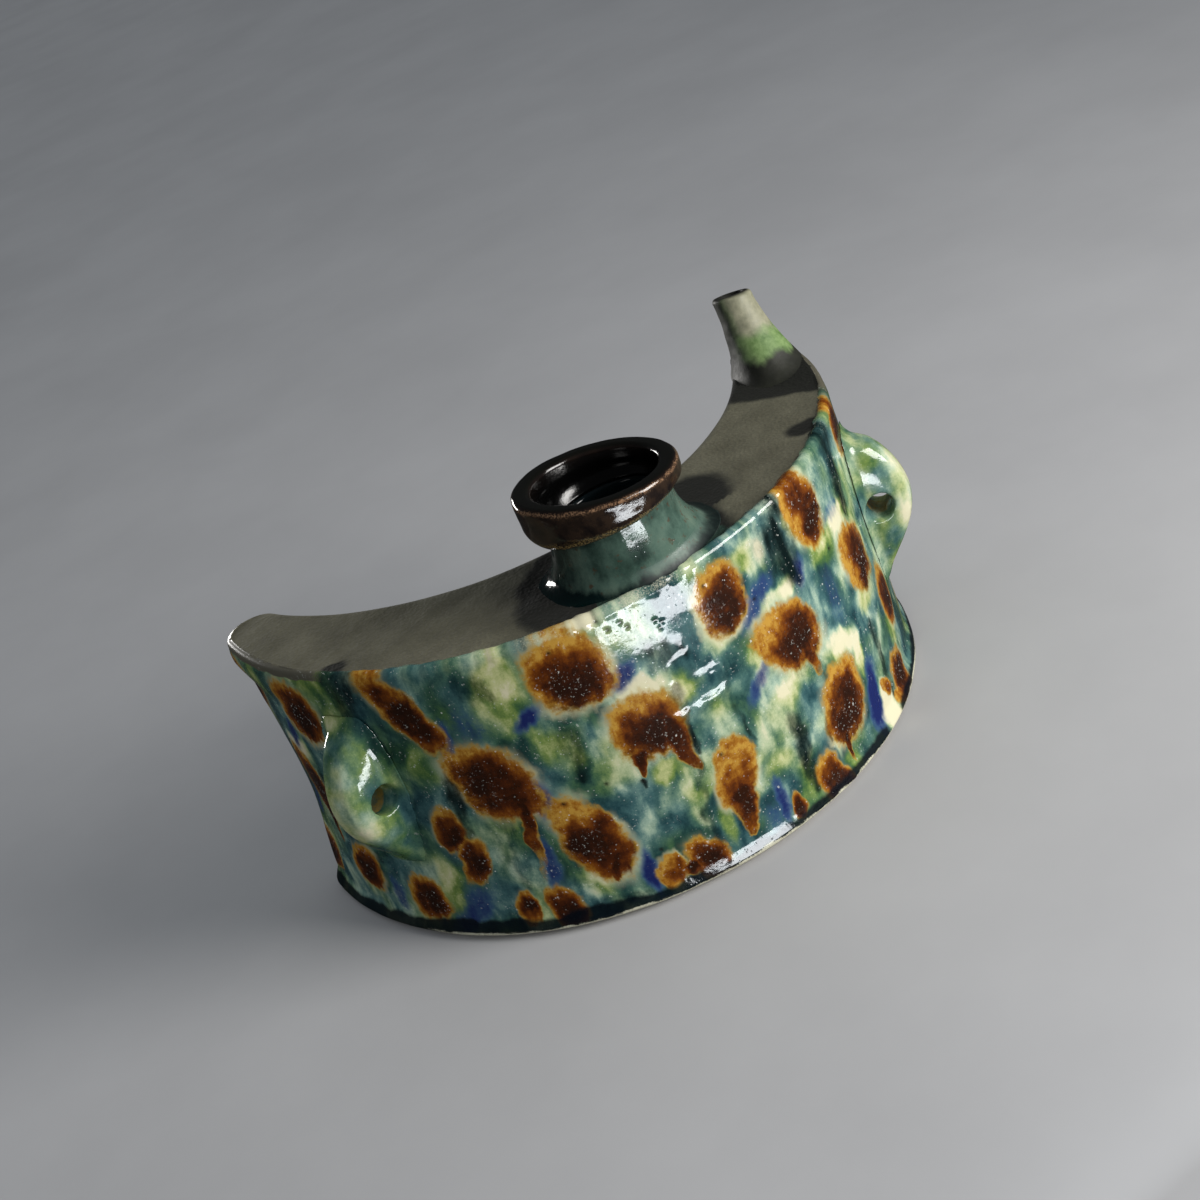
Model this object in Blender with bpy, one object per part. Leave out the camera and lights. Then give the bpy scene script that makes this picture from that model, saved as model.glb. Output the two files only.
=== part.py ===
"""Crescent hip flask in slab-built stoneware.

Two bent wall slabs stand between a base slab and a top slab. A thrown neck with a heavy lip stands in the
middle of the top, a pouring spout on one horn, and a pierced lug near each end of the convex wall.

Metres, +Z up. The origin is on the table under the middle of the mouth. The convex front faces -Y, and the
spout stands on the +X horn. Pieces that are joined with slip keep the gap JOINT between them.
"""

import math
from collections import namedtuple

import bmesh
import bpy

# Body, in plan
OUTER_RADIUS = 0.0900  # convex front wall
INNER_RADIUS = 0.0808  # concave back wall
MID_DEPTH = 0.0420  # front to back at the middle
MOUTH_SETBACK = 0.0196  # front wall to the middle of the mouth
TIP_HOLLOW = 0.0031  # inside radius of each horn's end

# Body, upright
BODY_HEIGHT = 0.0847
WALL = 0.0050
BASE_THICKNESS = 0.0060
TOP_THICKNESS = 0.0050
BASE_ROUND = 0.0012
TOP_ROUND = 0.0015
BELLY = 0.0014  # how far the front wall swells at half height
FOOT_FLARE = 0.0012  # how far the walls spread at the table
TIP_WAIST = 0.0070  # how far the horns' ends draw in at half height, along the back wall
TIP_OVERHANG = 0.0046  # how far the top slab stands out past the walls there
TIP_WAIST_REACH = 0.0350  # length of wall over which the waist fades out

# Neck and lip
NECK_BORE = 0.0130
NECK_RADIUS = 0.0166
NECK_HEIGHT = 0.0140  # top slab to the middle of the collar's upper end
NECK_TILT = (0.08, -0.08)  # rise of that end per metre of X and of Y
NECK_FOOT_LENGTH = 0.0220  # half the flared foot, along X
NECK_FOOT_DEPTH = 0.0185  # half the flared foot, along Y
NECK_FOOT_SHIFT = 0.0008  # the foot spreads this much further to +X
NECK_FOOT_EDGE = 0.0008
NECK_FLARE = 2.4  # how sharply the foot spreads
LIP_RADIUS = 0.0209
LIP_BAND = 0.0050  # width of the lip's top
LIP_HEIGHT = 0.0094  # at the middle of the mouth
LIP_TILT = (-0.091, -0.024)  # rise of the lip's top per metre of X and of Y
LIP_LEDGE = 0.0018  # width of the undercut below the lip
LIP_SHIFT = -0.0005  # the lip sits this far off the neck's middle, along X
LIP_ROUND = 0.0016
LIP_UNDERCUT = 0.02  # share of the lip's height under the undercut
LIP_WIDEST = 0.72  # share of the lip's height over which its side swells out
LIP_THROAT = (0.70, 0.45)  # bend of the mouth's funnel: shares of its widening and of the lip's height

# Spout
SPOUT_FROM_TIP = 0.0105  # middle of the spout's foot to the middle of the horn's end
SPOUT_HEIGHT = 0.0205  # top slab to the middle of the spout's mouth
SPOUT_LEAN = (-0.0004, 0.0071)  # how far the mouth stands off the middle of the foot, along X and Y
SPOUT_RADIUS = 0.0057  # at the mouth
SPOUT_BORE = 0.0036  # at the mouth
SPOUT_BORE_FOOT = 0.0040  # where it opens into the horn
SPOUT_BORE_SHIFT = -0.0011  # from the middle of the foot to the middle of that opening, along X
SPOUT_FOOT_LENGTH = 0.0150  # half the flared foot, along the horn
SPOUT_FOOT_WIDTH = 0.0096  # half the flared foot, across the horn
SPOUT_FOOT_EDGE = 0.0008
SPOUT_FLARE = 1.7  # how sharply the foot spreads
SPOUT_ROUND = 0.0012

# Lugs
LUG_ANGLE = math.radians(59)  # each side of the middle of the front wall
LUG_LOW = 0.0268
LUG_HEIGHT = 0.0435
LUG_PROUD = 0.0138
LUG_EDGE = 0.0016  # how proud the lug's two ends are
LUG_PEAK = 0.56  # share of the lug's height at which it is proudest
LUG_ROOT = 0.0085  # half its width where it meets the wall
LUG_CREST = 0.0056  # half its width at the crest
LUG_ROOT_END = 0.62  # share of the root's width that is left at the lug's two ends
LUG_CREST_END = 0.70  # share of the crest's width that is left there
LUG_SHOULDER = 0.45  # how much fuller the lug is near its top than near its lower end
LUG_FACE_BULGE = 0.75  # power that shapes a level cut through the lug, outward
LUG_SIDE_BULGE = 0.60  # power that shapes it sideways
LUG_HOLE = 0.0036
LUG_HOLE_MOUTH = 0.0043  # radius to which the hole opens at the lug's faces
LUG_HOLE_OUT = 0.0046  # wall to the middle of the hole
LUG_HOLE_RISE = 0.0234  # lug's lower end to the middle of the hole

JOINT = 0.0003  # slip joint between two pieces
COIL_CORE = 0.0004  # left open in the middle of a horn's end, inside a seam coil
COIL_HOLLOW = 0.38  # share of a seam coil's leg that is left at its hollow face

# Facets
FRONT_STEPS = 20  # half of the outer wall
BACK_STEPS = 15  # half of the inner wall
TIP_STEPS = 5  # half of a horn's end
WALL_ROWS = 8
ROUND_STEPS = 3
NECK_SIDES = 40
NECK_ROWS = 6
LIP_ROWS = 4
SPOUT_ROWS = 7
SPOUT_SIDES = 28
LUG_ROWS = 14
LUG_SIDES = 12
HOLE_SIDES = 24
HOLE_ROWS = 8
CHANNEL_STEPS = 2
CUT_MARGIN = 0.0020  # how far a cutter runs past what it cuts
SHARP_ANGLE = math.radians(38)

# Plan of the crescent
TIP_RADIUS = WALL + TIP_HOLLOW
OUTER_CENTRE_Y = OUTER_RADIUS - MOUTH_SETBACK
INNER_CENTRE_Y = INNER_RADIUS + MID_DEPTH - MOUTH_SETBACK
CENTRE_GAP = INNER_CENTRE_Y - OUTER_CENTRE_Y
TIP_FROM_OUTER = OUTER_RADIUS - TIP_RADIUS
TIP_FROM_INNER = INNER_RADIUS + TIP_RADIUS
TIP_RISE = (TIP_FROM_OUTER ** 2 - TIP_FROM_INNER ** 2 + CENTRE_GAP ** 2) / (2 * CENTRE_GAP)
TIP_X = math.sqrt(TIP_FROM_OUTER ** 2 - TIP_RISE ** 2)
TIP_Y = OUTER_CENTRE_Y + TIP_RISE
TIP_START = math.atan2(TIP_RISE, TIP_X)
BACK_START = math.atan2(TIP_Y - INNER_CENTRE_Y, TIP_X)
TIP_END = math.pi + BACK_START
TIP_MIDDLE = (TIP_START + TIP_END) / 2
BACK_TURN = TIP_END - math.pi / 2  # direction of the back wall where it meets the right horn's end
MIDDLE = math.radians(-90)

# Heights where the slabs meet
WALL_FOOT = BASE_THICKNESS + JOINT
WALL_TOP = BODY_HEIGHT - TOP_THICKNESS - JOINT
NECK_SEAT = BODY_HEIGHT + JOINT

# Middle of the spout's foot, stepped back from the horn's end along its bend, and the horn's direction there
SPOUT_BEND = SPOUT_FROM_TIP / OUTER_RADIUS
SPOUT_X = TIP_X - SPOUT_FROM_TIP * math.cos(TIP_MIDDLE - SPOUT_BEND / 2)
SPOUT_Y = TIP_Y - SPOUT_FROM_TIP * math.sin(TIP_MIDDLE - SPOUT_BEND / 2)
SPOUT_TURN = TIP_MIDDLE - SPOUT_BEND
BORE_FOOT = (SPOUT_BORE_SHIFT, 0.0)

# One place on the crescent's outline: its point, its outward normal, and how much the belly and the waist
# of the horns act there.
Station = namedtuple("Station", "x y nx ny belly waist")


def ease(share):
    """Smooth step from 0 to 1."""
    share = min(max(share, 0.0), 1.0)
    return share * share * (3 - 2 * share)


def arc_angles(start, end, steps):
    return [start + (end - start) * step / steps for step in range(steps + 1)]


def mirrored(stations):
    """The same stretch of outline on the other side, walked the other way."""
    flipped = [Station(-s.x, s.y, -s.nx, s.ny, s.belly, s.waist) for s in stations]
    return flipped[::-1]


def belly_at(angle):
    """Share of the belly at an angle on the front wall: all of it in the middle, none at the horns."""
    return ease((TIP_START - angle) / (TIP_START - MIDDLE))


def tip_station(angle):
    nx = math.cos(angle)
    ny = math.sin(angle)
    return Station(TIP_X + TIP_RADIUS * nx, TIP_Y + TIP_RADIUS * ny, nx, ny, 0.0, 1.0)


def outer_half():
    """Front wall from the middle of the flask to the middle of the right horn's end."""
    stations = []
    for angle in arc_angles(MIDDLE, TIP_START, FRONT_STEPS):
        nx = math.cos(angle)
        ny = math.sin(angle)
        along = (TIP_START - angle) * OUTER_RADIUS
        waist = 1 - ease(along / TIP_WAIST_REACH)
        point = (OUTER_RADIUS * nx, OUTER_CENTRE_Y + OUTER_RADIUS * ny)
        stations.append(Station(*point, nx, ny, belly_at(angle), waist))
    seam = JOINT / 2 / TIP_RADIUS
    for angle in arc_angles(TIP_START, TIP_MIDDLE - seam, TIP_STEPS)[1:]:
        stations.append(tip_station(angle))
    return stations


def inner_half():
    """Back wall from the middle of the right horn's end to the middle of the flask."""
    seam = JOINT / 2 / TIP_RADIUS
    stations = [tip_station(angle) for angle in arc_angles(TIP_MIDDLE + seam, TIP_END, TIP_STEPS)]
    for angle in arc_angles(BACK_START, MIDDLE, BACK_STEPS)[1:]:
        rx = math.cos(angle)
        ry = math.sin(angle)
        along = (BACK_START - angle) * INNER_RADIUS
        waist = 1 - ease(along / TIP_WAIST_REACH)
        stations.append(Station(INNER_RADIUS * rx, INNER_CENTRE_Y + INNER_RADIUS * ry, -rx, -ry, 0.0, waist))
    return stations


def spread(z, belly):
    """How far the wall stands outside its plan at height z."""
    share = z / BODY_HEIGHT
    return FOOT_FLARE * (1 - share) ** 3 + BELLY * belly * 4 * share * (1 - share)


def tip_draw(z):
    """How far the horns' ends draw in at height z: nothing at the table, most at half height."""
    share = 2 * z / BODY_HEIGHT
    return TIP_WAIST * ease(share) + (TIP_OVERHANG - TIP_WAIST) * ease(share - 1)


def place(station, inset, z, waisted=True):
    """Point inset behind the outside face of the body at a station and a height."""
    out = spread(z, station.belly) - inset
    draw = tip_draw(z) * station.waist if waisted else 0.0
    x = station.x + station.nx * out - math.copysign(draw * math.cos(BACK_TURN), station.x)
    y = station.y + station.ny * out - draw * math.sin(BACK_TURN)
    return (x, y, z)


OUTER_PATH = mirrored(outer_half())[:-1] + outer_half()
INNER_PATH = inner_half() + mirrored(inner_half())[1:]
OUTLINE = OUTER_PATH + INNER_PATH


def between(low, high, steps):
    return [low + (high - low) * step / steps for step in range(steps + 1)]


def material(name, colour, roughness, metallic=0.0):
    made = bpy.data.materials.new(name)
    made.use_nodes = True
    shader = made.node_tree.nodes["Principled BSDF"]
    shader.inputs["Base Color"].default_value = (*colour, 1.0)
    shader.inputs["Roughness"].default_value = roughness
    shader.inputs["Metallic"].default_value = metallic
    return made


def loft_mesh(name, rings, ends):
    """Skin a row of rings with equal counts of points.

    ends is "joined" for a loop of rings, "flat" for plane caps, or "ladder" for caps made of rungs between
    the two sides of a ring.
    """
    mesh = bmesh.new()
    rows = [[mesh.verts.new(point) for point in ring] for ring in rings]
    count = len(rings[0])
    pairs = list(zip(rows, rows[1:]))
    if ends == "joined":
        pairs.append((rows[-1], rows[0]))
    for near, far in pairs:
        for i in range(count):
            j = (i + 1) % count
            mesh.faces.new((near[i], near[j], far[j], far[i]))
    if ends == "flat":
        mesh.faces.new(rows[0])
        mesh.faces.new(rows[-1])
    if ends == "ladder":
        for row in (rows[0], rows[-1]):
            for i in range(count // 2 - 1):
                mesh.faces.new((row[i], row[i + 1], row[count - 2 - i], row[count - 1 - i]))
    bmesh.ops.recalc_face_normals(mesh, faces=mesh.faces)
    data = bpy.data.meshes.new(name)
    mesh.to_mesh(data)
    mesh.free()
    data.shade_smooth()
    data.set_sharp_from_angle(angle=SHARP_ANGLE)
    return data


def add_piece(data, name, finish, parent, location=(0.0, 0.0, 0.0), turn=0.0):
    piece = bpy.data.objects.new(name, data)
    bpy.context.collection.objects.link(piece)
    if finish and not data.materials:
        data.materials.append(finish)
    piece.parent = parent
    piece.location = location
    piece.rotation_euler = (0.0, 0.0, turn)
    return piece


def cut(piece, cutter):
    """Take the cutter's shape out of a piece; the cutter itself is only a guide."""
    cutter.hide_render = True
    cutter.display_type = "WIRE"
    modifier = piece.modifiers.new("cut_" + cutter.name, "BOOLEAN")
    modifier.operation = "DIFFERENCE"
    modifier.solver = "EXACT"
    modifier.object = cutter


def ellipse(length, width, z, sides, centre=(0.0, 0.0), turn=0.0, tilt=(0.0, 0.0)):
    """Ring of points; tilt is its rise per metre of X and of Y."""
    ring = []
    for side in range(sides):
        angle = 2 * math.pi * side / sides
        along = length * math.cos(angle)
        across = width * math.sin(angle)
        x = along * math.cos(turn) - across * math.sin(turn)
        y = along * math.sin(turn) + across * math.cos(turn)
        ring.append((centre[0] + x, centre[1] + y, z + tilt[0] * x + tilt[1] * y))
    return ring


def circle(radius, z, sides, tilt=(0.0, 0.0)):
    return ellipse(radius, radius, z, sides, tilt=tilt)


def mix(first, last, share):
    """Blend of two pairs of numbers."""
    return tuple(a + (b - a) * share for a, b in zip(first, last))


def wall_mesh(name, path):
    heights = between(WALL_FOOT, WALL_TOP, WALL_ROWS)
    rings = []
    for station in path:
        outside = [place(station, 0.0, z) for z in heights]
        inside = [place(station, WALL, z) for z in reversed(heights)]
        rings.append(outside + inside)
    return loft_mesh(name, rings, "ladder")


def base_mesh():
    rows = []
    for angle in arc_angles(0.0, math.pi / 2, ROUND_STEPS):
        rows.append((BASE_ROUND * (1 - math.sin(angle)), BASE_ROUND * (1 - math.cos(angle))))
    rows.append((0.0, BASE_THICKNESS))
    rings = [[place(station, inset, z) for station in OUTLINE] for inset, z in rows]
    return loft_mesh("base_slab", rings, "flat")


def top_mesh():
    rows = [(0.0, BODY_HEIGHT - TOP_THICKNESS)]
    for angle in arc_angles(0.0, math.pi / 2, ROUND_STEPS):
        height = BODY_HEIGHT - TOP_ROUND * (1 - math.sin(angle))
        rows.append((TOP_ROUND * (1 - math.cos(angle)), height))
    rings = [[place(station, inset, z, waisted=False) for station in OUTLINE] for inset, z in rows]
    return loft_mesh("top_slab", rings, "flat")


def seam_coil_mesh(name, seat, rise):
    """Fillet of clay round the inside corner at height seat; rise is +1 above it and -1 under it."""
    leg = TIP_HOLLOW - JOINT - COIL_CORE
    corner = WALL + JOINT
    hollow = COIL_HOLLOW * leg
    section = [(0.0, 0.0), (leg, 0.0), (hollow, hollow), (0.0, leg)]
    rings = []
    for station in OUTLINE:
        rings.append([place(station, corner + inset, seat + rise * (JOINT + up)) for inset, up in section])
    return loft_mesh(name, rings, "joined")


def end_coil_mesh(name, side):
    """Upright fillet in a horn's end, between the two seam coils."""
    leg = TIP_HOLLOW - JOINT - COIL_CORE
    low = BASE_THICKNESS + leg + 2 * JOINT
    high = BODY_HEIGHT - TOP_THICKNESS - leg - 2 * JOINT
    tip = [tip_station(angle) for angle in arc_angles(TIP_START, TIP_END, 2 * TIP_STEPS)]
    rings = []
    for height in between(low, high, WALL_ROWS):
        points = [place(station, WALL + JOINT, height) for station in tip]
        rings.append([(side * x, y, z) for x, y, z in points])
    return loft_mesh(name, rings, "flat")


def neck_mesh():
    """Thrown collar: a flared foot, a drawn-in waist and a tilted upper end that carries the lip."""
    level = (0.0, 0.0)
    foot = (NECK_FOOT_SHIFT, 0.0)
    rings = [ellipse(NECK_FOOT_LENGTH, NECK_FOOT_DEPTH, 0.0, NECK_SIDES, centre=foot)]
    for share in between(0.0, 1.0, NECK_ROWS):
        flare = (1 - share) ** NECK_FLARE
        length, depth = mix((NECK_RADIUS,) * 2, (NECK_FOOT_LENGTH, NECK_FOOT_DEPTH), flare)
        z = NECK_FOOT_EDGE + (NECK_HEIGHT - NECK_FOOT_EDGE) * share
        tilt = mix(level, NECK_TILT, share)
        rings.append(ellipse(length, depth, z, NECK_SIDES, centre=mix(level, foot, flare), tilt=tilt))
    for share in between(1.0, 0.0, CHANNEL_STEPS):
        rings.append(circle(NECK_BORE, NECK_HEIGHT * share, NECK_SIDES, tilt=mix(level, NECK_TILT, share)))
    return loft_mesh("neck", rings, "joined")


def lip_mesh():
    """Heavy ring, thicker at the left, with a rounded side over a narrow undercut."""
    mouth = LIP_RADIUS - LIP_BAND
    foot = NECK_RADIUS + JOINT
    ledge = foot + LIP_LEDGE
    side = [(foot, 0.0), (ledge, LIP_UNDERCUT)]
    for share in between(0.0, 1.0, LIP_ROWS)[1:]:
        radius = ledge + (LIP_RADIUS - ledge) * math.sin(share * math.pi / 2)
        side.append((radius, LIP_UNDERCUT + LIP_WIDEST * share))
    crown = []
    for angle in arc_angles(0.0, math.pi / 2, ROUND_STEPS):
        crown.append((LIP_RADIUS - LIP_ROUND * (1 - math.cos(angle)), LIP_ROUND * (1 - math.sin(angle))))
    for angle in arc_angles(math.pi / 2, math.pi, ROUND_STEPS):
        crown.append((mouth + LIP_ROUND * (1 + math.cos(angle)), LIP_ROUND * (1 - math.sin(angle))))
    funnel = NECK_BORE + LIP_THROAT[0] * (mouth - NECK_BORE)
    throat = [(funnel, LIP_THROAT[1]), (NECK_BORE, 0.0)]
    rings = []
    for radius, share in side:
        rings.append(circle(radius, LIP_HEIGHT * share, NECK_SIDES, tilt=mix(NECK_TILT, LIP_TILT, share)))
    for radius, drop in crown:
        rings.append(circle(radius, LIP_HEIGHT - drop, NECK_SIDES, tilt=LIP_TILT))
    for radius, share in throat:
        rings.append(circle(radius, LIP_HEIGHT * share, NECK_SIDES, tilt=mix(NECK_TILT, LIP_TILT, share)))
    return loft_mesh("lip_ring", rings, "joined")


def spout_mesh():
    """Tapered spout that leans out over the horn's end, with a flared foot that lies along the horn."""
    level = (0.0, 0.0)
    square = (-SPOUT_LEAN[0] / SPOUT_HEIGHT, -SPOUT_LEAN[1] / SPOUT_HEIGHT)
    rings = [ellipse(SPOUT_FOOT_LENGTH, SPOUT_FOOT_WIDTH, 0.0, SPOUT_SIDES, turn=SPOUT_TURN)]
    shoulder = SPOUT_HEIGHT - SPOUT_ROUND
    for step in between(0.0, 1.0, SPOUT_ROWS):
        z = SPOUT_FOOT_EDGE + (shoulder - SPOUT_FOOT_EDGE) * step
        share = z / SPOUT_HEIGHT
        size = mix((SPOUT_RADIUS,) * 2, (SPOUT_FOOT_LENGTH, SPOUT_FOOT_WIDTH), (1 - step) ** SPOUT_FLARE)
        centre = mix(level, SPOUT_LEAN, share)
        tilt = mix(level, square, step)
        rings.append(ellipse(*size, z, SPOUT_SIDES, centre=centre, turn=SPOUT_TURN, tilt=tilt))
    for angle in arc_angles(0.0, math.pi / 2, ROUND_STEPS)[1:]:
        radius = SPOUT_RADIUS - SPOUT_ROUND * (1 - math.cos(angle))
        z = SPOUT_HEIGHT - SPOUT_ROUND * (1 - math.sin(angle))
        centre = mix(level, SPOUT_LEAN, z / SPOUT_HEIGHT)
        rings.append(ellipse(radius, radius, z, SPOUT_SIDES, centre=centre, turn=SPOUT_TURN, tilt=square))
    for share in between(1.0, 0.0, CHANNEL_STEPS):
        bore = SPOUT_BORE_FOOT + (SPOUT_BORE - SPOUT_BORE_FOOT) * share
        centre = mix(BORE_FOOT, SPOUT_LEAN, share)
        tilt = mix(level, square, share)
        z = SPOUT_HEIGHT * share
        rings.append(ellipse(bore, bore, z, SPOUT_SIDES, centre=centre, turn=SPOUT_TURN, tilt=tilt))
    return loft_mesh("spout", rings, "joined")


def lug_profile(share):
    """How proud the lug is at a share of its height: steep under its top and drawn out at its lower end."""
    bend = math.log(0.5) / math.log(LUG_PEAK)
    wave = math.sin(math.pi * share ** bend)
    return max(wave, 0.0) ** (1.0 - LUG_SHOULDER * share)


def lug_mesh():
    """Lug in the frame of the outer wall's centre, standing off along +X."""
    rings = []
    for share in between(0.0, 1.0, LUG_ROWS):
        z = LUG_LOW + LUG_HEIGHT * share
        profile = lug_profile(share)
        proud = LUG_EDGE + (LUG_PROUD - LUG_EDGE) * profile
        root = LUG_ROOT * (LUG_ROOT_END + (1 - LUG_ROOT_END) * profile)
        crest = LUG_CREST * (LUG_CREST_END + (1 - LUG_CREST_END) * profile)
        section = []
        for angle in arc_angles(0.0, math.pi, LUG_SIDES):
            out = math.sin(angle) ** LUG_FACE_BULGE
            half = root + (crest - root) * out
            side = math.copysign(abs(math.cos(angle)) ** LUG_SIDE_BULGE, math.cos(angle))
            section.append((proud * out, half * side))
        section.append((0.0, -root / 2))
        section.append((0.0, root / 2))
        face = OUTER_RADIUS + spread(z, belly_at(MIDDLE + LUG_ANGLE)) + JOINT
        ring = []
        for out, half in section:
            angle = half / face
            ring.append(((face + out) * math.cos(angle), (face + out) * math.sin(angle), z))
        rings.append(ring)
    return loft_mesh("lug", rings, "flat")


def lug_hole_mesh():
    """Guide for the cord hole: narrow in the middle and open at both faces."""
    reach = LUG_ROOT + CUT_MARGIN
    z = LUG_LOW + LUG_HOLE_RISE
    centre = OUTER_RADIUS + spread(z, belly_at(MIDDLE + LUG_ANGLE)) + JOINT + LUG_HOLE_OUT
    rings = []
    for along in between(-reach, reach, HOLE_ROWS):
        radius = LUG_HOLE + (LUG_HOLE_MOUTH - LUG_HOLE) * (along / LUG_ROOT) ** 2
        ring = []
        for side in range(HOLE_SIDES):
            angle = 2 * math.pi * side / HOLE_SIDES
            ring.append((centre + radius * math.cos(angle), along, z + radius * math.sin(angle)))
        rings.append(ring)
    return loft_mesh("lug_hole", rings, "flat")


def post_mesh(name, radius, sides):
    """Upright guide through the top slab."""
    low = BODY_HEIGHT - TOP_THICKNESS - CUT_MARGIN
    high = BODY_HEIGHT + CUT_MARGIN
    return loft_mesh(name, [circle(radius, low, sides), circle(radius, high, sides)], "flat")


def build():
    for old in list(bpy.data.objects):
        bpy.data.objects.remove(old, do_unlink=True)
    flask = bpy.data.objects.new("flask", None)
    bpy.context.collection.objects.link(flask)

    bare_clay = material("bare_clay", (0.30, 0.24, 0.18), 0.85)
    shoulder_clay = material("shoulder_clay", (0.075, 0.070, 0.050), 0.80)
    front_glaze = material("front_glaze", (0.10, 0.19, 0.15), 0.15)
    back_glaze = material("back_glaze", (0.14, 0.20, 0.14), 0.18)
    neck_glaze = material("neck_glaze", (0.07, 0.12, 0.10), 0.20)
    lip_glaze = material("lip_glaze", (0.025, 0.018, 0.012), 0.12)
    spout_glaze = material("spout_glaze", (0.17, 0.22, 0.09), 0.30)
    lug_glaze = material("lug_glaze", (0.42, 0.47, 0.31), 0.18)
    coil_clay = material("coil_clay", (0.30, 0.24, 0.18), 0.90)

    add_piece(base_mesh(), "base_slab", bare_clay, flask)
    add_piece(wall_mesh("outer_wall", OUTER_PATH), "outer_wall", front_glaze, flask)
    add_piece(wall_mesh("inner_wall", INNER_PATH), "inner_wall", back_glaze, flask)

    top = add_piece(top_mesh(), "top_slab", shoulder_clay, flask)
    cut(top, add_piece(post_mesh("neck_hole", NECK_BORE, NECK_SIDES), "neck_hole", None, flask))
    spout_hole = post_mesh("spout_hole", SPOUT_BORE_FOOT, SPOUT_SIDES)
    hole_place = (SPOUT_X + SPOUT_BORE_SHIFT, SPOUT_Y, 0.0)
    cut(top, add_piece(spout_hole, "spout_hole", None, flask, hole_place))

    lip_seat = NECK_SEAT + NECK_HEIGHT + JOINT
    add_piece(neck_mesh(), "neck", neck_glaze, flask, (0.0, 0.0, NECK_SEAT))
    add_piece(lip_mesh(), "lip_ring", lip_glaze, flask, (LIP_SHIFT, 0.0, lip_seat))
    add_piece(spout_mesh(), "spout", spout_glaze, flask, (SPOUT_X, SPOUT_Y, NECK_SEAT))

    lug_data = lug_mesh()
    hole_data = lug_hole_mesh()
    for name, turn in (("lug_left", MIDDLE - LUG_ANGLE), ("lug_right", MIDDLE + LUG_ANGLE)):
        centre = (0.0, OUTER_CENTRE_Y, 0.0)
        lug = add_piece(lug_data, name, lug_glaze, flask, centre, turn)
        cut(lug, add_piece(hole_data, name + "_hole", None, flask, centre, turn))

    add_piece(seam_coil_mesh("base_seam_coil", BASE_THICKNESS, 1), "base_seam_coil", coil_clay, flask)
    top_seat = BODY_HEIGHT - TOP_THICKNESS
    add_piece(seam_coil_mesh("top_seam_coil", top_seat, -1), "top_seam_coil", coil_clay, flask)
    add_piece(end_coil_mesh("left_end_coil", -1), "left_end_coil", coil_clay, flask)
    add_piece(end_coil_mesh("right_end_coil", 1), "right_end_coil", coil_clay, flask)


build()
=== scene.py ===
"""Looks of the crescent flask: glazed stoneware on a pale floor.

Each piece is a fine mesh in the place of its CAD solid. The glaze is painted on as float layers, such as
copper, cobalt and iron, that are worked out from places listed on the walls, and the materials mix their
colours by those layers.
"""

import math
from collections import namedtuple

import bmesh
import bpy
import numpy as np
from mathutils import Matrix


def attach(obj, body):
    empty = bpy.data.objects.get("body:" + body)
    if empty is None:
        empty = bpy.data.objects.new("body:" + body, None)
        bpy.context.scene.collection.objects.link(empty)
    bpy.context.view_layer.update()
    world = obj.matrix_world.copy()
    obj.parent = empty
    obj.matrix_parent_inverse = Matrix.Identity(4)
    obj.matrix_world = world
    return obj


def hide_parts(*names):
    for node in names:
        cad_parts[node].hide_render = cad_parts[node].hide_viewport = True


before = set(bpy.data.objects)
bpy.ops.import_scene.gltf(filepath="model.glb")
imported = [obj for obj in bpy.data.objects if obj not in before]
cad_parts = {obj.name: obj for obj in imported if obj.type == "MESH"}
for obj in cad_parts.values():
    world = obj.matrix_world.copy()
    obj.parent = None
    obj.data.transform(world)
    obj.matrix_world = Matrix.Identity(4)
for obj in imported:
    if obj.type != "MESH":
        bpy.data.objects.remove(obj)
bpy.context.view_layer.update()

MM = 0.001

# Sizes of the solids, as the part's source has them
OUTER_RADIUS = 0.09
INNER_RADIUS = 0.0808
MID_DEPTH = 0.042
MOUTH_SETBACK = 0.0196
WALL = 0.005
TIP_RADIUS = WALL + 0.0031
BODY_HEIGHT = 0.0847
BASE_THICKNESS = 0.006
TOP_THICKNESS = 0.005
TOP_ROUND = 0.0015
BELLY = 0.0014
FOOT_FLARE = 0.0012
TIP_WAIST = 0.007
TIP_OVERHANG = 0.0046
TIP_WAIST_REACH = 0.035
JOINT = 0.0003

OUTER_CENTRE_Y = OUTER_RADIUS - MOUTH_SETBACK
INNER_CENTRE_Y = INNER_RADIUS + MID_DEPTH - MOUTH_SETBACK
CENTRE_GAP = INNER_CENTRE_Y - OUTER_CENTRE_Y
TIP_FROM_OUTER = OUTER_RADIUS - TIP_RADIUS
TIP_FROM_INNER = INNER_RADIUS + TIP_RADIUS
TIP_RISE = (TIP_FROM_OUTER ** 2 - TIP_FROM_INNER ** 2 + CENTRE_GAP ** 2) / (2 * CENTRE_GAP)
TIP_X = math.sqrt(TIP_FROM_OUTER ** 2 - TIP_RISE ** 2)
TIP_Y = OUTER_CENTRE_Y + TIP_RISE
TIP_START = math.atan2(TIP_RISE, TIP_X)
BACK_START = math.atan2(TIP_Y - INNER_CENTRE_Y, TIP_X)
TIP_END = math.pi + BACK_START
TIP_MIDDLE = (TIP_START + TIP_END) / 2
BACK_TURN = TIP_END - math.pi / 2
MIDDLE = math.radians(-90)
WALL_FOOT = BASE_THICKNESS + JOINT
WALL_TOP = BODY_HEIGHT - TOP_THICKNESS - JOINT

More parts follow.
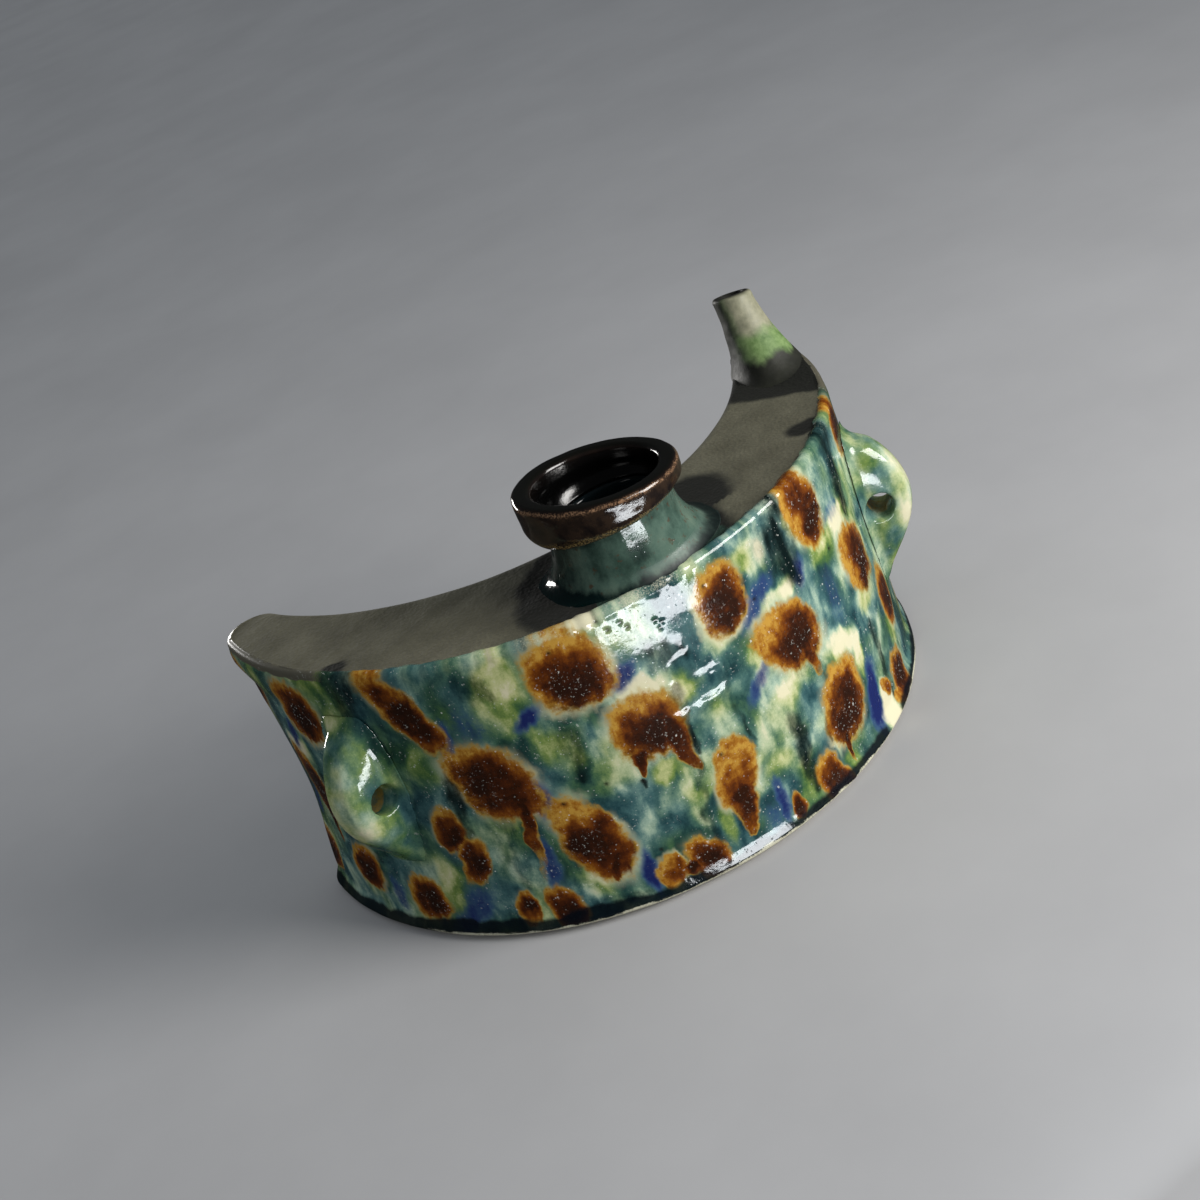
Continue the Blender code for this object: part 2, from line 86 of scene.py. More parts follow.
NECK_BORE = 0.013
NECK_RADIUS = 0.0166
NECK_HEIGHT = 0.014
NECK_TILT = (0.08, -0.08)
NECK_FOOT_LENGTH = 0.022
NECK_FOOT_DEPTH = 0.0185
NECK_FOOT_SHIFT = 0.0008
NECK_FLARE = 2.4
LIP_RADIUS = 0.0209
LIP_BAND = 0.005
LIP_HEIGHT = 0.0094
LIP_TILT = (-0.091, -0.024)
LIP_LEDGE = 0.0018
LIP_SHIFT = -0.0005
LIP_ROUND = 0.0016
LIP_UNDERCUT = 0.02
LIP_WIDEST = 0.72
LIP_TUCK = 0.48  # share of the side over which it tucks in to the neck
LIP_SPLAY = 0.0001  # how much the side spreads above that
LIP_THROAT = (0.7, 0.45)

SPOUT_FROM_TIP = 0.0105
SPOUT_HEIGHT = 0.0205
SPOUT_LEAN = (-0.0004, 0.0071)
SPOUT_RADIUS = 0.0057
SPOUT_BORE = 0.0036
SPOUT_BORE_FOOT = 0.004
SPOUT_BORE_SHIFT = -0.0011
SPOUT_FOOT_LENGTH = 0.015
SPOUT_FOOT_WIDTH = 0.0096
SPOUT_FLARE = 1.7
SPOUT_ROUND = 0.0012
SPOUT_CUT = (-0.12, -0.24)
SPOUT_BEND = SPOUT_FROM_TIP / OUTER_RADIUS
SPOUT_X = TIP_X - SPOUT_FROM_TIP * math.cos(TIP_MIDDLE - SPOUT_BEND / 2)
SPOUT_Y = TIP_Y - SPOUT_FROM_TIP * math.sin(TIP_MIDDLE - SPOUT_BEND / 2)
SPOUT_TURN = TIP_MIDDLE - SPOUT_BEND

LUG_TURN = math.radians(59)
LUG_HOLE = 4.2 * MM
LUG_HOLE_OUT = 4.9 * MM
LUG_HOLE_UP = 0.0502

# Counts of points: steps along half a wall and round its horn's end, rows up or across, sides of a ring
FRONT_STEPS = (330, 30)
FRONT_ROWS = 168
BACK_STEPS = (180, 24)
BACK_ROWS = 130
SLAB_STEPS = (190, 20)
SLAB_ROWS = 48
NECK_SIDES = 144
LIP_SIDES = 160
SPOUT_SIDES = 96

TIP_FADE = 7 * MM  # height over which the horns' ends come back out, below the top slab

# Glaze on the walls
GLAZE = 0.35 * MM  # usual thickness
GLAZE_FOOT = 1.1 * MM  # height at which it stops above the table
FOOT_ROLL = 1.76 * MM  # how much thicker it is where it gathers at the foot
EDGE_CREEP = 0.9 * MM  # how far it creeps in over the top slab
FOOT_FILLET = 3 * MM  # how far it smooths the feet of the neck and the spout out on to the slab
LUG_FILLET = 2.6 * MM  # the same for the lugs on the wall
LUG_SKIN = 0.9 * MM  # where the glazed wall lies at the lugs, outside its radius
BACK_STOP = 3.4 * MM  # how far below the top it stops on the back wall
TOP_BAND = 81  # millimetres up, where it turns paler and uneven towards the top edge
HORN_START = 84  # millimetres along, where its top edge starts to turn thin and dry towards the horns
HORN_FADE = 22  # millimetres over which it does
SQUARENESS = 2.4  # power that shapes an iron spot; 2 would make it an ellipse
BUMP_DEPTH = 0.3 * MM  # of the finest grain, in the materials

# Light and floor
FILL = 0.36  # strength of the world's light
DARK_ROOM = 0.03  # what the glaze mirrors of the room and the floor
SKY = (0.9, 0.95, 1.0, 1.0)
WARM = (1.0, 0.98, 0.95)
COOL = (0.93, 0.97, 1.0)
HALF_FLOOR = 6

# Marks of the glaze on the front wall: millimetres along the wall from its middle, and up from the table
Spot = namedtuple("Spot", "along up wide high lean dark_along dark_up dark_size halo")
Patch = namedtuple("Patch", "along up wide high amount lean", defaults=(0,))
Run = namedtuple("Run", "along up to_along to_up wide amount")
Marks = namedtuple("Marks", "spots runs cobalt deep cream green pale amber pits ripples")


def listed(kind, rows):
    """Marks of one kind, each from a row of its values."""
    return [kind(*row) for row in rows]


IRON_SPOTS = listed(Spot, (
    (-29.8, 72.8, 9, 9.4, -0.12, -30, 68.6, 5.4, 0.8),
    (-17, 51.4, 8.8, 8.4, -0.06, -17.6, 48, 4.8, 0.6), (11.4, 71.6, 6.9, 8, 0.05, 11, 70, 5, 0.9),
    (26.6, 50.6, 9.4, 8.9, -0.34, 28, 47.5, 5.6, 0.9), (46.2, 76, 6.9, 9.8, -0.12, 50, 72.6, 4.4, 0.4),
    (64.6, 49.8, 7.2, 9.9, -0.24, 67, 45, 4.8, 0.7), (36.6, 23, 7.8, 10.8, 0.12, 36.5, 20.5, 6.2, 0.5),
    (-40.3, 26.5, 6.7, 13.2, -0.24, -42, 25, 4.2, 0.6), (-57.5, 49.5, 9.4, 11, -0.3, -61, 50, 5.4, 0.5),
    (-73.5, 73, 5.6, 11.5, -0.55, -73, 73, 4, 0.2), (-1, 27, 5.8, 8.8, 0.1, -2, 15.5, 2.2, 0.6),
    (-15.5, 8.8, 4.8, 6.8, -0.25, -15, 8, 3, 0.1), (-25.3, 8.5, 3.4, 4.4, 0, -25, 8, 0.5, 0.6),
    (24.3, 6, 4.6, 7.6, -0.2, 25, 6, 2.6, 0.2), (12, 8, 1.8, 4, 0, 12, 7, 0.5, 0.1),
    (68.5, 8.5, 5.4, 6, 0, 69, 8.5, 4.4, 0.2), (63.5, 4.2, 3.6, 2.4, 0, 66, 4, 0.5, 0.1),
    (58, 11.5, 1.8, 3.4, -0.2, 60, 11, 0.3, 0.6), (-53, 8, 4, 6.6, -0.1, -52.5, 7.5, 2.2, 0.1),
    (-63, 8.5, 2.9, 5.4, 0, -62.5, 10, 1.4, 0.1), (-75, 37, 4.2, 6.4, 0.1, -75, 33, 1.5, 0.2),
    (-72, 26, 3.8, 7.4, 0.3, -72, 25, 3, 0.1), (78, 28, 5.4, 9, 0, 79, 26, 3.4, 0.3),
    (86, 77, 6.5, 7.5, 0, 87, 75, 3.5, 0.5), (106, 17, 7.5, 8, 0, 106, 15, 4, 0.6),
    (112, 64, 8, 10, -0.2, 113, 61, 5, 0.7), (129, 38, 8, 10, 0.2, 129, 36, 5, 0.6),
    (140, 73, 6, 7.5, 0, 140, 72, 3, 0.4), (-92, 13, 5.5, 7, 0, -92, 12, 3, 0.2),
    (-114, 19, 6.5, 7, 0.2, -114, 18, 3.4, 0.4), (-110, 72, 8, 9, -0.2, -109, 70, 4.6, 0.4),
    (-126, 46, 8, 10, -0.2, -126, 44, 5, 0.6), (-140, 74, 6, 7.5, 0, -140, 72, 3, 0.4),
    (-139, 16, 6, 7, 0, -139, 15, 3, 0.4),
))
IRON_RUNS = listed(Run, (
    (-25, 67, -25.6, 63, 1.8, 1), (-11.8, 48, -10.2, 35.5, 3.3, 1), (-22.5, 44, -22.8, 39.5, 1.6, 1),
    (-53, 42, -55.5, 14, 2.6, 0.75), (-1.5, 20, -1.5, 9, 3.6, 1), (30.2, 46, 32, 36.5, 3.2, 0.9),
    (34.6, 14, 34.2, 6, 1.3, 0.9), (-37.5, 17, -38, 12.5, 2, 1), (-20, 7, -22, 6.5, 2.4, 1),
    (113, 56, 114, 44, 2.2, 1), (-125, 37, -124, 26, 2.2, 1),
))
COBALT_PATCHES = listed(Patch, (
    (-18.8, 66.2, 3.6, 3.8, 0.95, 0.6), (-43, 65.2, 3.2, 3, 1.05, 0.7),
    (20.6, 65.6, 4.8, 5.2, 0.78, 1.05), (37, 63.5, 2.6, 3.6, 1, 0.2), (-47.6, 42, 2.4, 5.6, 1.1, 0.15),
    (-29.8, 10.5, 1.6, 6.8, 1), (49.8, 14, 3.7, 10.4, 1.2, 0.22), (13.5, 45, 2.6, 4, 0.85, 0.8),
    (8.2, 12, 1.7, 6.8, 0.9), (-65, 63, 2.4, 6, 0.9, 0.1), (59, 68, 6.5, 2.4, 0.5),
    (-79, 9, 5.4, 7.4, 0.8, 0.6), (-52.6, 22, 2.2, 7.4, 0.85), (47, 49, 3.4, 9, 0.4),
    (-57, 67, 4, 5, 0.4), (4.5, 9, 2.4, 4, 0.5), (97, 72, 2.6, 5, 0.9, 0.4), (120, 22, 2.4, 6, 0.9),
    (-122, 62, 2.6, 5, 0.9, 0.4), (-103, 12, 2.4, 6, 0.8), (-136, 36, 2.2, 5, 0.8, 0.3),
))
DEEP_RUNS = listed(Run, (
    (35.8, 81, 33, 72, 4, 1.1), (32.6, 75, 35.6, 62.5, 5.8, 1.2), (69.5, 82, 67.2, 63, 4.2, 1.1),
    (19.5, 30, 18, 7, 2.6, 1), (-68.5, 51, -70.5, 33, 2.4, 0.95), (-9.2, 36, -12, 21, 1.3, 0.85),
    (-12, 22, -11, 5, 1.4, 0.85), (60.3, 31, 60.3, 6, 1.9, 1), (28.5, 24, 28, 15, 1, 0.7),
    (-7.2, 58, -7.8, 38, 1.5, 1), (-23.3, 37.5, -23.3, 34.5, 0.8, 0.9), (5, 44, 6.8, 33, 0.9, 0.7),
    (6, 56, 4, 46, 1.6, 0.45), (-36, 57, -35.5, 44, 3, 0.8), (-53, 77, -50, 73, 4, 0.6),
    # The last run on the next line, from (-60, 36) to (-61, 16), is partly painted shade on the wall's
    # shaded left part
    (-8, 68, -2, 64, 4, 0.9), (-88, 82, -90, 74, 6, 0.8), (-60, 36, -61, 16, 4, 0.5),
    (-45, 5, -32, 5, 3, 0.6), (31.5, 43, 33, 34, 2.4, 0.7), (99, 44, 98, 22, 1.8, 0.8),
    (120, 78, 121, 58, 1.8, 0.8), (-116, 50, -117, 30, 1.8, 0.8), (-133, 64, -132, 50, 1.6, 0.8),
))
CREAM_PATCHES = listed(Patch, (
    (43.4, 37.6, 4.2, 4.6, 1, -0.8), (49, 29, 2.4, 5.5, 1, 0.2), (29, 62.6, 7.4, 2.6, 1, -0.3),
    (61, 65, 5.6, 3, 0.95), (54.5, 5.5, 4.4, 7, 1.1, 0.25), (-18, 62, 6, 3, 0.95), (-26, 83, 6, 2, 0.6),
    (30, 13.5, 1.9, 3.2, 0.8), (-45, 13.5, 3.6, 4.6, 0.6), (15, 50, 1.6, 5, 0.6),
    (5.5, 62, 3, 2.4, 0.5), (-13.5, 26, 2, 5.4, 0.55), (110, 76, 7, 3, 0.8), (-124, 58, 6, 3.5, 0.8),
))
GREEN_PATCHES = listed(Patch, (
    (-46.5, 77, 3.2, 3.6, 0.9), (-42, 56, 4, 4.6, 0.5), (-28.5, 55, 2.2, 5.6, 0.45),
    (-5.5, 57, 2.4, 3.4, 1), (-17, 37.5, 3.4, 3, 0.9), (-8, 14, 2, 5.4, 0.9),
    (-83, 16, 3.6, 10, 0.8, 0.2), (-56, 40, 2, 4, 0.7), (24, 76.5, 3.6, 4.4, 0.7), (49, 62, 5, 3, 0.6),
    (39, 75, 1.6, 4, 0.8), (61, 38, 4, 4, 0.7), (73, 18, 3.6, 6, 0.7), (22, 38, 5, 3.6, 0.45),
    (33, 5.5, 3, 3, 0.6),
))
PALE_PATCHES = listed(Patch, (
    (-1, 42, 6, 5, 0.6), (-27, 34, 5, 12, 0.6), (10, 28, 4, 6, 0.3), (19, 39, 6.4, 3, 0.6),
    (25, 22, 3, 8, 0.35), (58, 76, 7, 6, 0.7), (24, 78, 6, 5.4, 0.75), (40, 66, 4, 5, 0.6),
    (41, 47, 2, 5, 0.5), (64, 24, 4, 7, 0.3),
))
AMBER_PATCHES = listed(Patch, (
    (20, 55.5, 5.5, 3.6, 1, -0.3), (40.5, 75, 3, 7.5, 1, -0.3), (59.5, 51, 3, 7.5, 1, -0.2),
    (-43, 35.5, 4.6, 4.4, 1), (-1, 29, 6.6, 7, 1.1), (46, 24, 1.8, 6, 0.8), (-17, 57, 6, 2.6, 0.8),
    (57.5, 11.5, 2.2, 4, 1), (-63.5, 6, 2, 2.4, 0.9), (-25.5, 8, 3, 3.6, 0.9), (-29, 79, 5, 3.6, 0.5),
    (62, 4, 3, 2.4, 0.8), (38, 32, 5, 2.4, 0.6), (9, 77, 4, 2.4, 0.8, 0.4),
))
RIPPLES = listed(Patch, (
    (-1.5, 49.4, 7.4, 2.4, 0.4, 0.5), (2.6, 56, 4.8, 2.8, 0.38, -0.4),
    (-5.2, 63.2, 3.8, 1.9, 0.18, 0.3),
))
PITS = (
    (-17.5, 79.5), (-14, 79.8), (-12.8, 78), (-6, 76.2), (-4.6, 75), (-5.5, 73.8), (-19.3, 82.7),
    (-31.8, 40.2), (-23.4, 37.3), (-43.5, 38.5), (-32.5, 79.8), (8.5, 77.5), (-3, 33.8), (20.5, 66),
    (52, 60), (-25.5, 16),
)

# Marks on the back wall, guessed in the same manner: millimetres along it from its middle
BACK_SPOTS = listed(Spot, (
    (-8, 65, 8.6, 9.4, 0.2, -7, 62, 4.6, 0.6), (-36, 41, 9.2, 8.2, -0.3, -38, 39, 4.8, 0.4),
    (22, 35, 7.6, 11, 0.25, 24, 31, 5, 0.7), (46, 68, 8.6, 7.6, -0.2, 48, 66, 4.4, 0.4),
    (-60, 69, 6.2, 9.8, 0.3, -60, 66, 4, 0.6), (66, 27, 7.4, 9.8, -0.25, 68, 24, 4, 0.6),
    (-72, 25, 8.2, 7.8, 0.1, -73, 23, 4, 0.5), (-12, 14, 6.8, 5.4, -0.2, -13, 13, 3, 0.3),
    (88, 60, 6, 9, 0.1, 88, 58, 3, 0.5), (-92, 56, 5.6, 8.4, -0.1, -92, 54, 3, 0.5),
    (40, 11, 4.6, 5, 0, 41, 10, 2, 0.2), (5, 44, 2.8, 3.6, 0.2, 5, 43, 1, 0.4),
    (-33, 77, 4.4, 4, 0, -33, 76, 1.6, 0.3),
))
BACK_RUNS = listed(Run, (
    (25, 28, 28, 17, 4.4, 1), (-41, 37, -40, 27, 4.4, 1), (50, 64, 52, 55, 3.8, 1),
    (-11, 59, -13, 51, 3.2, 0.95), (-62, 62, -63, 55, 3, 0.95),
))
BACK_COBALT = listed(Patch, (
    (12, 58, 2.8, 5.4, 0.9, 0.6), (-22, 28, 2.2, 6, 0.9), (48, 24, 2.6, 6.4, 0.9, 0.2),
    (-68, 48, 2.6, 5, 0.9, 0.4), (74, 50, 2.4, 5, 0.8, 0.3), (-46, 12, 2.4, 5, 0.8, 0.2),
))
BACK_DEEP = listed(Run, (
    (0, 52, 2, 26, 2.6, 0.9), (-26, 70, -27, 50, 3, 0.9), (60, 60, 61, 38, 2.6, 0.9),
    (-56, 40, -57, 14, 2.4, 0.9), (33, 62, 34, 48, 2.6, 0.8),
))
BACK_CREAM = listed(Patch, (
    (-38, 54, 7, 3.4, 0.9, -0.2), (24, 50, 6.4, 3.4, 0.9, 0.2), (-5, 79, 7, 2.6, 0.7),
    (66, 41, 5, 3, 0.8), (-19, 22, 3, 3.4, 0.6),
))
BACK_GREEN = listed(Patch, (
    (-20, 48, 4, 5, 0.7), (62, 72, 5, 4, 0.7), (8, 18, 4, 5.4, 0.8), (-54, 8, 4, 4, 0.8),
    (32, 78, 4, 3, 0.7), (-80, 40, 4, 5, 0.7),
))
BACK_PALE = listed(Patch, (
    (10, 72, 5, 5, 0.5), (-50, 48, 5, 8, 0.5), (40, 42, 5, 6.4, 0.55), (-30, 18, 4, 6, 0.5),
    (78, 36, 5, 6, 0.5),
))
BACK_AMBER = listed(Patch, (
    (-10, 70.5, 5, 3, 0.9), (-41, 45, 4, 3.4, 0.9), (18, 42, 4, 4.4, 1), (41, 71, 4, 3, 0.9),
    (63, 33, 4, 4, 0.9), (-67, 28, 3.4, 3.4, 0.8),
))

FRONT_MARKS = Marks(
    IRON_SPOTS, IRON_RUNS, COBALT_PATCHES, DEEP_RUNS, CREAM_PATCHES, GREEN_PATCHES, PALE_PATCHES,
    AMBER_PATCHES, PITS, RIPPLES)
BACK_MARKS = Marks(
    BACK_SPOTS, BACK_RUNS, BACK_COBALT, BACK_DEEP, BACK_CREAM, BACK_GREEN, BACK_PALE, BACK_AMBER, (), ())


# Noise and easing


def lattice(ix, iy, iz, seed):
    """A repeatable number from 0 to 1 for each point of a whole-number grid."""
    mixed = ix * 73856093 ^ iy * 19349663 ^ iz * 83492791 ^ seed * 49979687
    mixed = (mixed ^ (mixed >> 13)) * 1274126177
    return ((mixed ^ (mixed >> 16)) & 0xFFFFFF) / 0xFFFFFF


def noise(points, size, seed):
    """Smooth noise from -1 to 1 at each point. size is its grain in millimetres, or one for each axis."""
    scaled = points / (np.asarray(size, float) * MM)
    cell = np.floor(scaled).astype(np.int64)
    share = scaled - cell
    share = share * share * (3 - 2 * share)
    total = np.zeros(points.shape[:-1])
    for corner in range(8):
        step = (corner & 1, corner >> 1 & 1, corner >> 2)
        weight = np.ones_like(total)
        for axis in range(3):
            weight = weight * (share[..., axis] if step[axis] else 1 - share[..., axis])
        grid = [cell[..., axis] + step[axis] for axis in range(3)]
        total += weight * lattice(*grid, seed)
    return 2 * total - 1


def cloud(points, size, seed, layers=3):
    """Noise in layers, each half as coarse and half as strong as the one before."""
    size = np.asarray(size, float)
    total = np.zeros(points.shape[:-1])
    for layer in range(layers):
        total += noise(points, size / 2 ** layer, seed + layer) / 2 ** layer
    return total


def unit(value):
    """A value held between 0 and 1."""
    return np.clip(value, 0.0, 1.0)


def ease(share):
    """A smooth step from 0 to 1."""
    share = unit(share)
    return share * share * (3 - 2 * share)


def fillet(height, radius):
    """How far a round fillet stands out at each height above the surface that it runs into."""
    share = unit(1 - height / radius)
    return radius * (1 - np.sqrt(1 - share ** 2))


# Plan of the crescent
# A row of stations holds x, y, the outward normal's x and y, the shares of the belly and of the horns'
# waist, and the distance along the wall. A side has the arc of its wall, the turn at which the horn's end
# begins, which way it faces and its share of the belly.

Side = namedtuple("Side", "radius centre_y arc_end tip_start facing belly")
FRONT = Side(OUTER_RADIUS, OUTER_CENTRE_Y, TIP_START, TIP_START, 1, 1)
BACK = Side(INNER_RADIUS, INNER_CENTRE_Y, BACK_START, TIP_END, -1, 0)


def half_wall(side, arc_steps, tip_steps):
    """One side's wall, from the middle of the flask to the middle of the right horn's end."""
    angle = np.linspace(MIDDLE, side.arc_end, arc_steps + 1)
    x, y = side.radius * np.cos(angle), side.radius * np.sin(angle)
    nx, ny = side.facing * np.cos(angle), side.facing * np.sin(angle)
    left = side.arc_end - angle
    belly = side.belly * ease(left / (side.arc_end - MIDDLE))
    waist = 1 - ease(left * side.radius / TIP_WAIST_REACH)
    along = (angle - MIDDLE) * side.radius
    arc = np.stack((x, side.centre_y + y, nx, ny, belly, waist, along), -1)
    turn = np.linspace(side.tip_start, TIP_MIDDLE, tip_steps + 1)[1:]
    tip_along = along[-1] + np.abs(turn - side.tip_start) * TIP_RADIUS
    return np.concatenate((arc, tip_stations(turn, tip_along)))


def tip_stations(turn, along):
    """Stations round a horn's end."""
    nx, ny = np.cos(turn), np.sin(turn)
    flat = np.zeros_like(turn)
    return np.stack((TIP_X + TIP_RADIUS * nx, TIP_Y + TIP_RADIUS * ny, nx, ny, flat, flat + 1, along), -1)


def whole(half):
    """Both halves of a wall, from the left horn's end to the right one's."""
    flip = np.array((-1, 1, -1, 1, 1, 1, -1))
    return np.concatenate(((half * flip)[:0:-1], half))


def spread(z, belly):
    """How far a wall stands outside its plan at height z."""
    share = z / BODY_HEIGHT
    return FOOT_FLARE * (1 - share) ** 3 + BELLY * belly * 4 * share * (1 - share)


def tip_draw(z):
    """How far the horns' ends draw in at height z. The draw fades out below the top slab's edge."""
    share = 2 * z / BODY_HEIGHT
    draw = TIP_WAIST * ease(share) + (TIP_OVERHANG - TIP_WAIST) * ease(share - 1)
    return draw * (1 - ease((z - WALL_TOP + TIP_FADE) / TIP_FADE))


def place(stations, out, z):
    """Points that stand out from the plan at each station. out and z broadcast against the stations."""
    x, y, nx, ny, belly, waist, _ = (column[:, None] for column in stations.T)
    reach = spread(z, belly) + out
    draw = tip_draw(z) * waist
    px = x + nx * reach - np.sign(x) * draw * math.cos(BACK_TURN)
    py = y + ny * reach - draw * math.sin(BACK_TURN)
    return np.stack((px, py, np.broadcast_to(z, px.shape)), -1)


# Meshes


def add_object(name, data):
    item = bpy.data.objects.new(name, data)
    bpy.context.scene.collection.objects.link(item)
    return item


def new_piece(name, points, faces):
    data = bpy.data.meshes.new(name)
    data.from_pydata(points.reshape(-1, 3).tolist(), [], faces)
    data.shade_smooth()
    return add_object(name, data)


def loft(name, rings, joined=False, caps=False):
    """Skin a block of points: rings, points in a ring, 3. The faces are turned to look out."""
    count, size = rings.shape[:2]
    faces = []
    for row in range(count if joined else count - 1):
        near = row * size
        far = (row + 1) % count * size
        for i in range(size):
            j = (i + 1) % size
            faces.append((near + i, near + j, far + j, far + i))
    if caps:
        faces.append(tuple(range(size - 1, -1, -1)))
        faces.append(tuple(range((count - 1) * size, count * size)))
    corners = rings.reshape(-1, 3)
    quads = np.array([face for face in faces if len(face) == 4])
    a, b, c, d = (corners[quads[:, k]] for k in range(4))
    volume = np.einsum("ij,ij->i", a, np.cross(b, c) + np.cross(c, d)).sum()
    if volume < 0:
        faces = [face[::-1] for face in faces]
    return new_piece(name, rings, faces)


def paint(piece, **layers):
    """Write float layers to a piece's points."""
    for name, values in layers.items():
        layer = piece.data.attributes.new(name, "FLOAT", "POINT")
        layer.data.foreach_set("value", np.ascontiguousarray(values, np.float32).ravel())


def corners_of(piece):
    flat = np.empty(len(piece.data.vertices) * 3, np.float32)
    piece.data.vertices.foreach_get("co", flat)
    return flat.reshape(-1, 3).astype(float)


# Glaze fields


def offsets(mark, along, up):
    """How far each place is from a mark's middle, across and upward, in half sizes of the mark."""
    upward = up - mark.up
    return (along - mark.along - mark.lean * upward) / mark.wide, upward / mark.high


def patch_field(along, up, patches):
    """Strongest of some soft patches at each place."""
    field = np.zeros_like(along)
    for patch in patches:
        across, upward = offsets(patch, along, up)
        field = np.maximum(field, patch.amount * ease((1.7 - np.hypot(across, upward)) / 1.3))
    return field


def run_distance(along, up, run):
    """Distance from a run's line in half widths, and the run's share at the nearest place."""
    reach_along = run.to_along - run.along
    reach_up = run.to_up - run.up
    share = (along - run.along) * reach_along + (up - run.up) * reach_up
    share = unit(share / (reach_along ** 2 + reach_up ** 2))
    gap = np.hypot(along - run.along - share * reach_along, up - run.up - share * reach_up)
    return gap / (run.wide * (1 - 0.6 * share)), share


def run_field(along, up, runs):
    """Strongest of some soft runs at each place."""
    field = np.zeros_like(along)
    for run in runs:
        gap, _ = run_distance(along, up, run)
        field = np.maximum(field, run.amount * ease((1.9 - gap) / 1.6))
    return field


def iron_field(along, up, spots, runs):
    """Iron from 0 to 1, a third at the rim of a spot, with its depth, dark hearts and pale halos."""
    gap = np.full_like(along, 9)
    rise, halo, heart = np.zeros((3, *along.shape))
    for spot in spots:
        across, upward = offsets(spot, along, up)
        here = (np.abs(across) ** SQUARENESS + np.abs(upward) ** SQUARENESS) ** (1 / SQUARENESS)
        rise = np.where(here < gap, upward - 0.6 * across, rise)
        halo = np.where(here < gap, spot.halo, halo)
        gap = np.minimum(gap, here)
        from_dark = np.hypot(along - spot.dark_along, (up - spot.dark_up) * 0.85) / spot.dark_size
        heart = np.maximum(heart, ease((2 - from_dark) / 1.8))
    for run in runs:
        away, share = run_distance(along, up, run)
        here = np.maximum(away ** 0.6, 0.45 + 0.52 * share) / run.amount
        rise = np.where(here < gap, -1.2, rise)
        halo = np.where(here < gap, 0.0, halo)
        gap = np.minimum(gap, here)
    rust = 0.24 + 0.6 * ease((1 - gap) / 0.5) - 0.2 * rise
    return unit(1 - gap / 1.5), rust, heart, halo


def strays(bare):
    """How far the marks stray along the wall and up it, in millimetres."""
    wander = 0.9 * cloud(bare, 5, 11) + 0.9 * noise(bare, 11, 13)
    hair = 0.7 * noise(bare, (0.9, 0.9, 6), 21)
    drift = 1.1 * cloud(bare, (4, 4, 8), 31) + 0.9 * noise(bare, 12, 33) + hair
    return wander, drift


def ground(bare, along, up, marks):
    """Copper in the glaze, how green it is, the cream patches, and the slow cloud behind them."""
    wander, drift = strays(bare)
    cream = patch_field(along + 1.3 * wander, up + 1.3 * drift, marks.cream)
    green = patch_field(along + 1.3 * wander, up + 1.3 * drift, marks.green)
    pale = patch_field(along + 1.6 * wander, up + 1.6 * drift, marks.pale)
    turned = bare + 2.5 * MM * np.stack([noise(bare, 7, 43 + k) for k in range(3)], -1)
    flow = cloud(turned, (9, 9, 11), 41, 3)
    run_down = cloud(turned, (2.4, 2.4, 6.5), 51, 3)
    copper = 0.565 + 0.26 * np.tanh(1.8 * flow) + 0.16 * run_down
    copper = copper - 0.66 * cream - 0.26 * green - 0.3 * pale
    copper = copper - 0.1 * ease((up - TOP_BAND) / 3)
    tint = cloud(turned, (9, 9, 11), 55, 2)
    hue = 0.38 + 0.52 * tint + 0.75 * green + 0.3 * cream - 0.25 * pale
    return copper, hue, cream, flow


# Walls

GLAZE_LAYERS = (
    "copper", "hue", "cobalt", "deep", "iron", "rust", "heart", "pool", "broken", "dry", "halo", "pit")


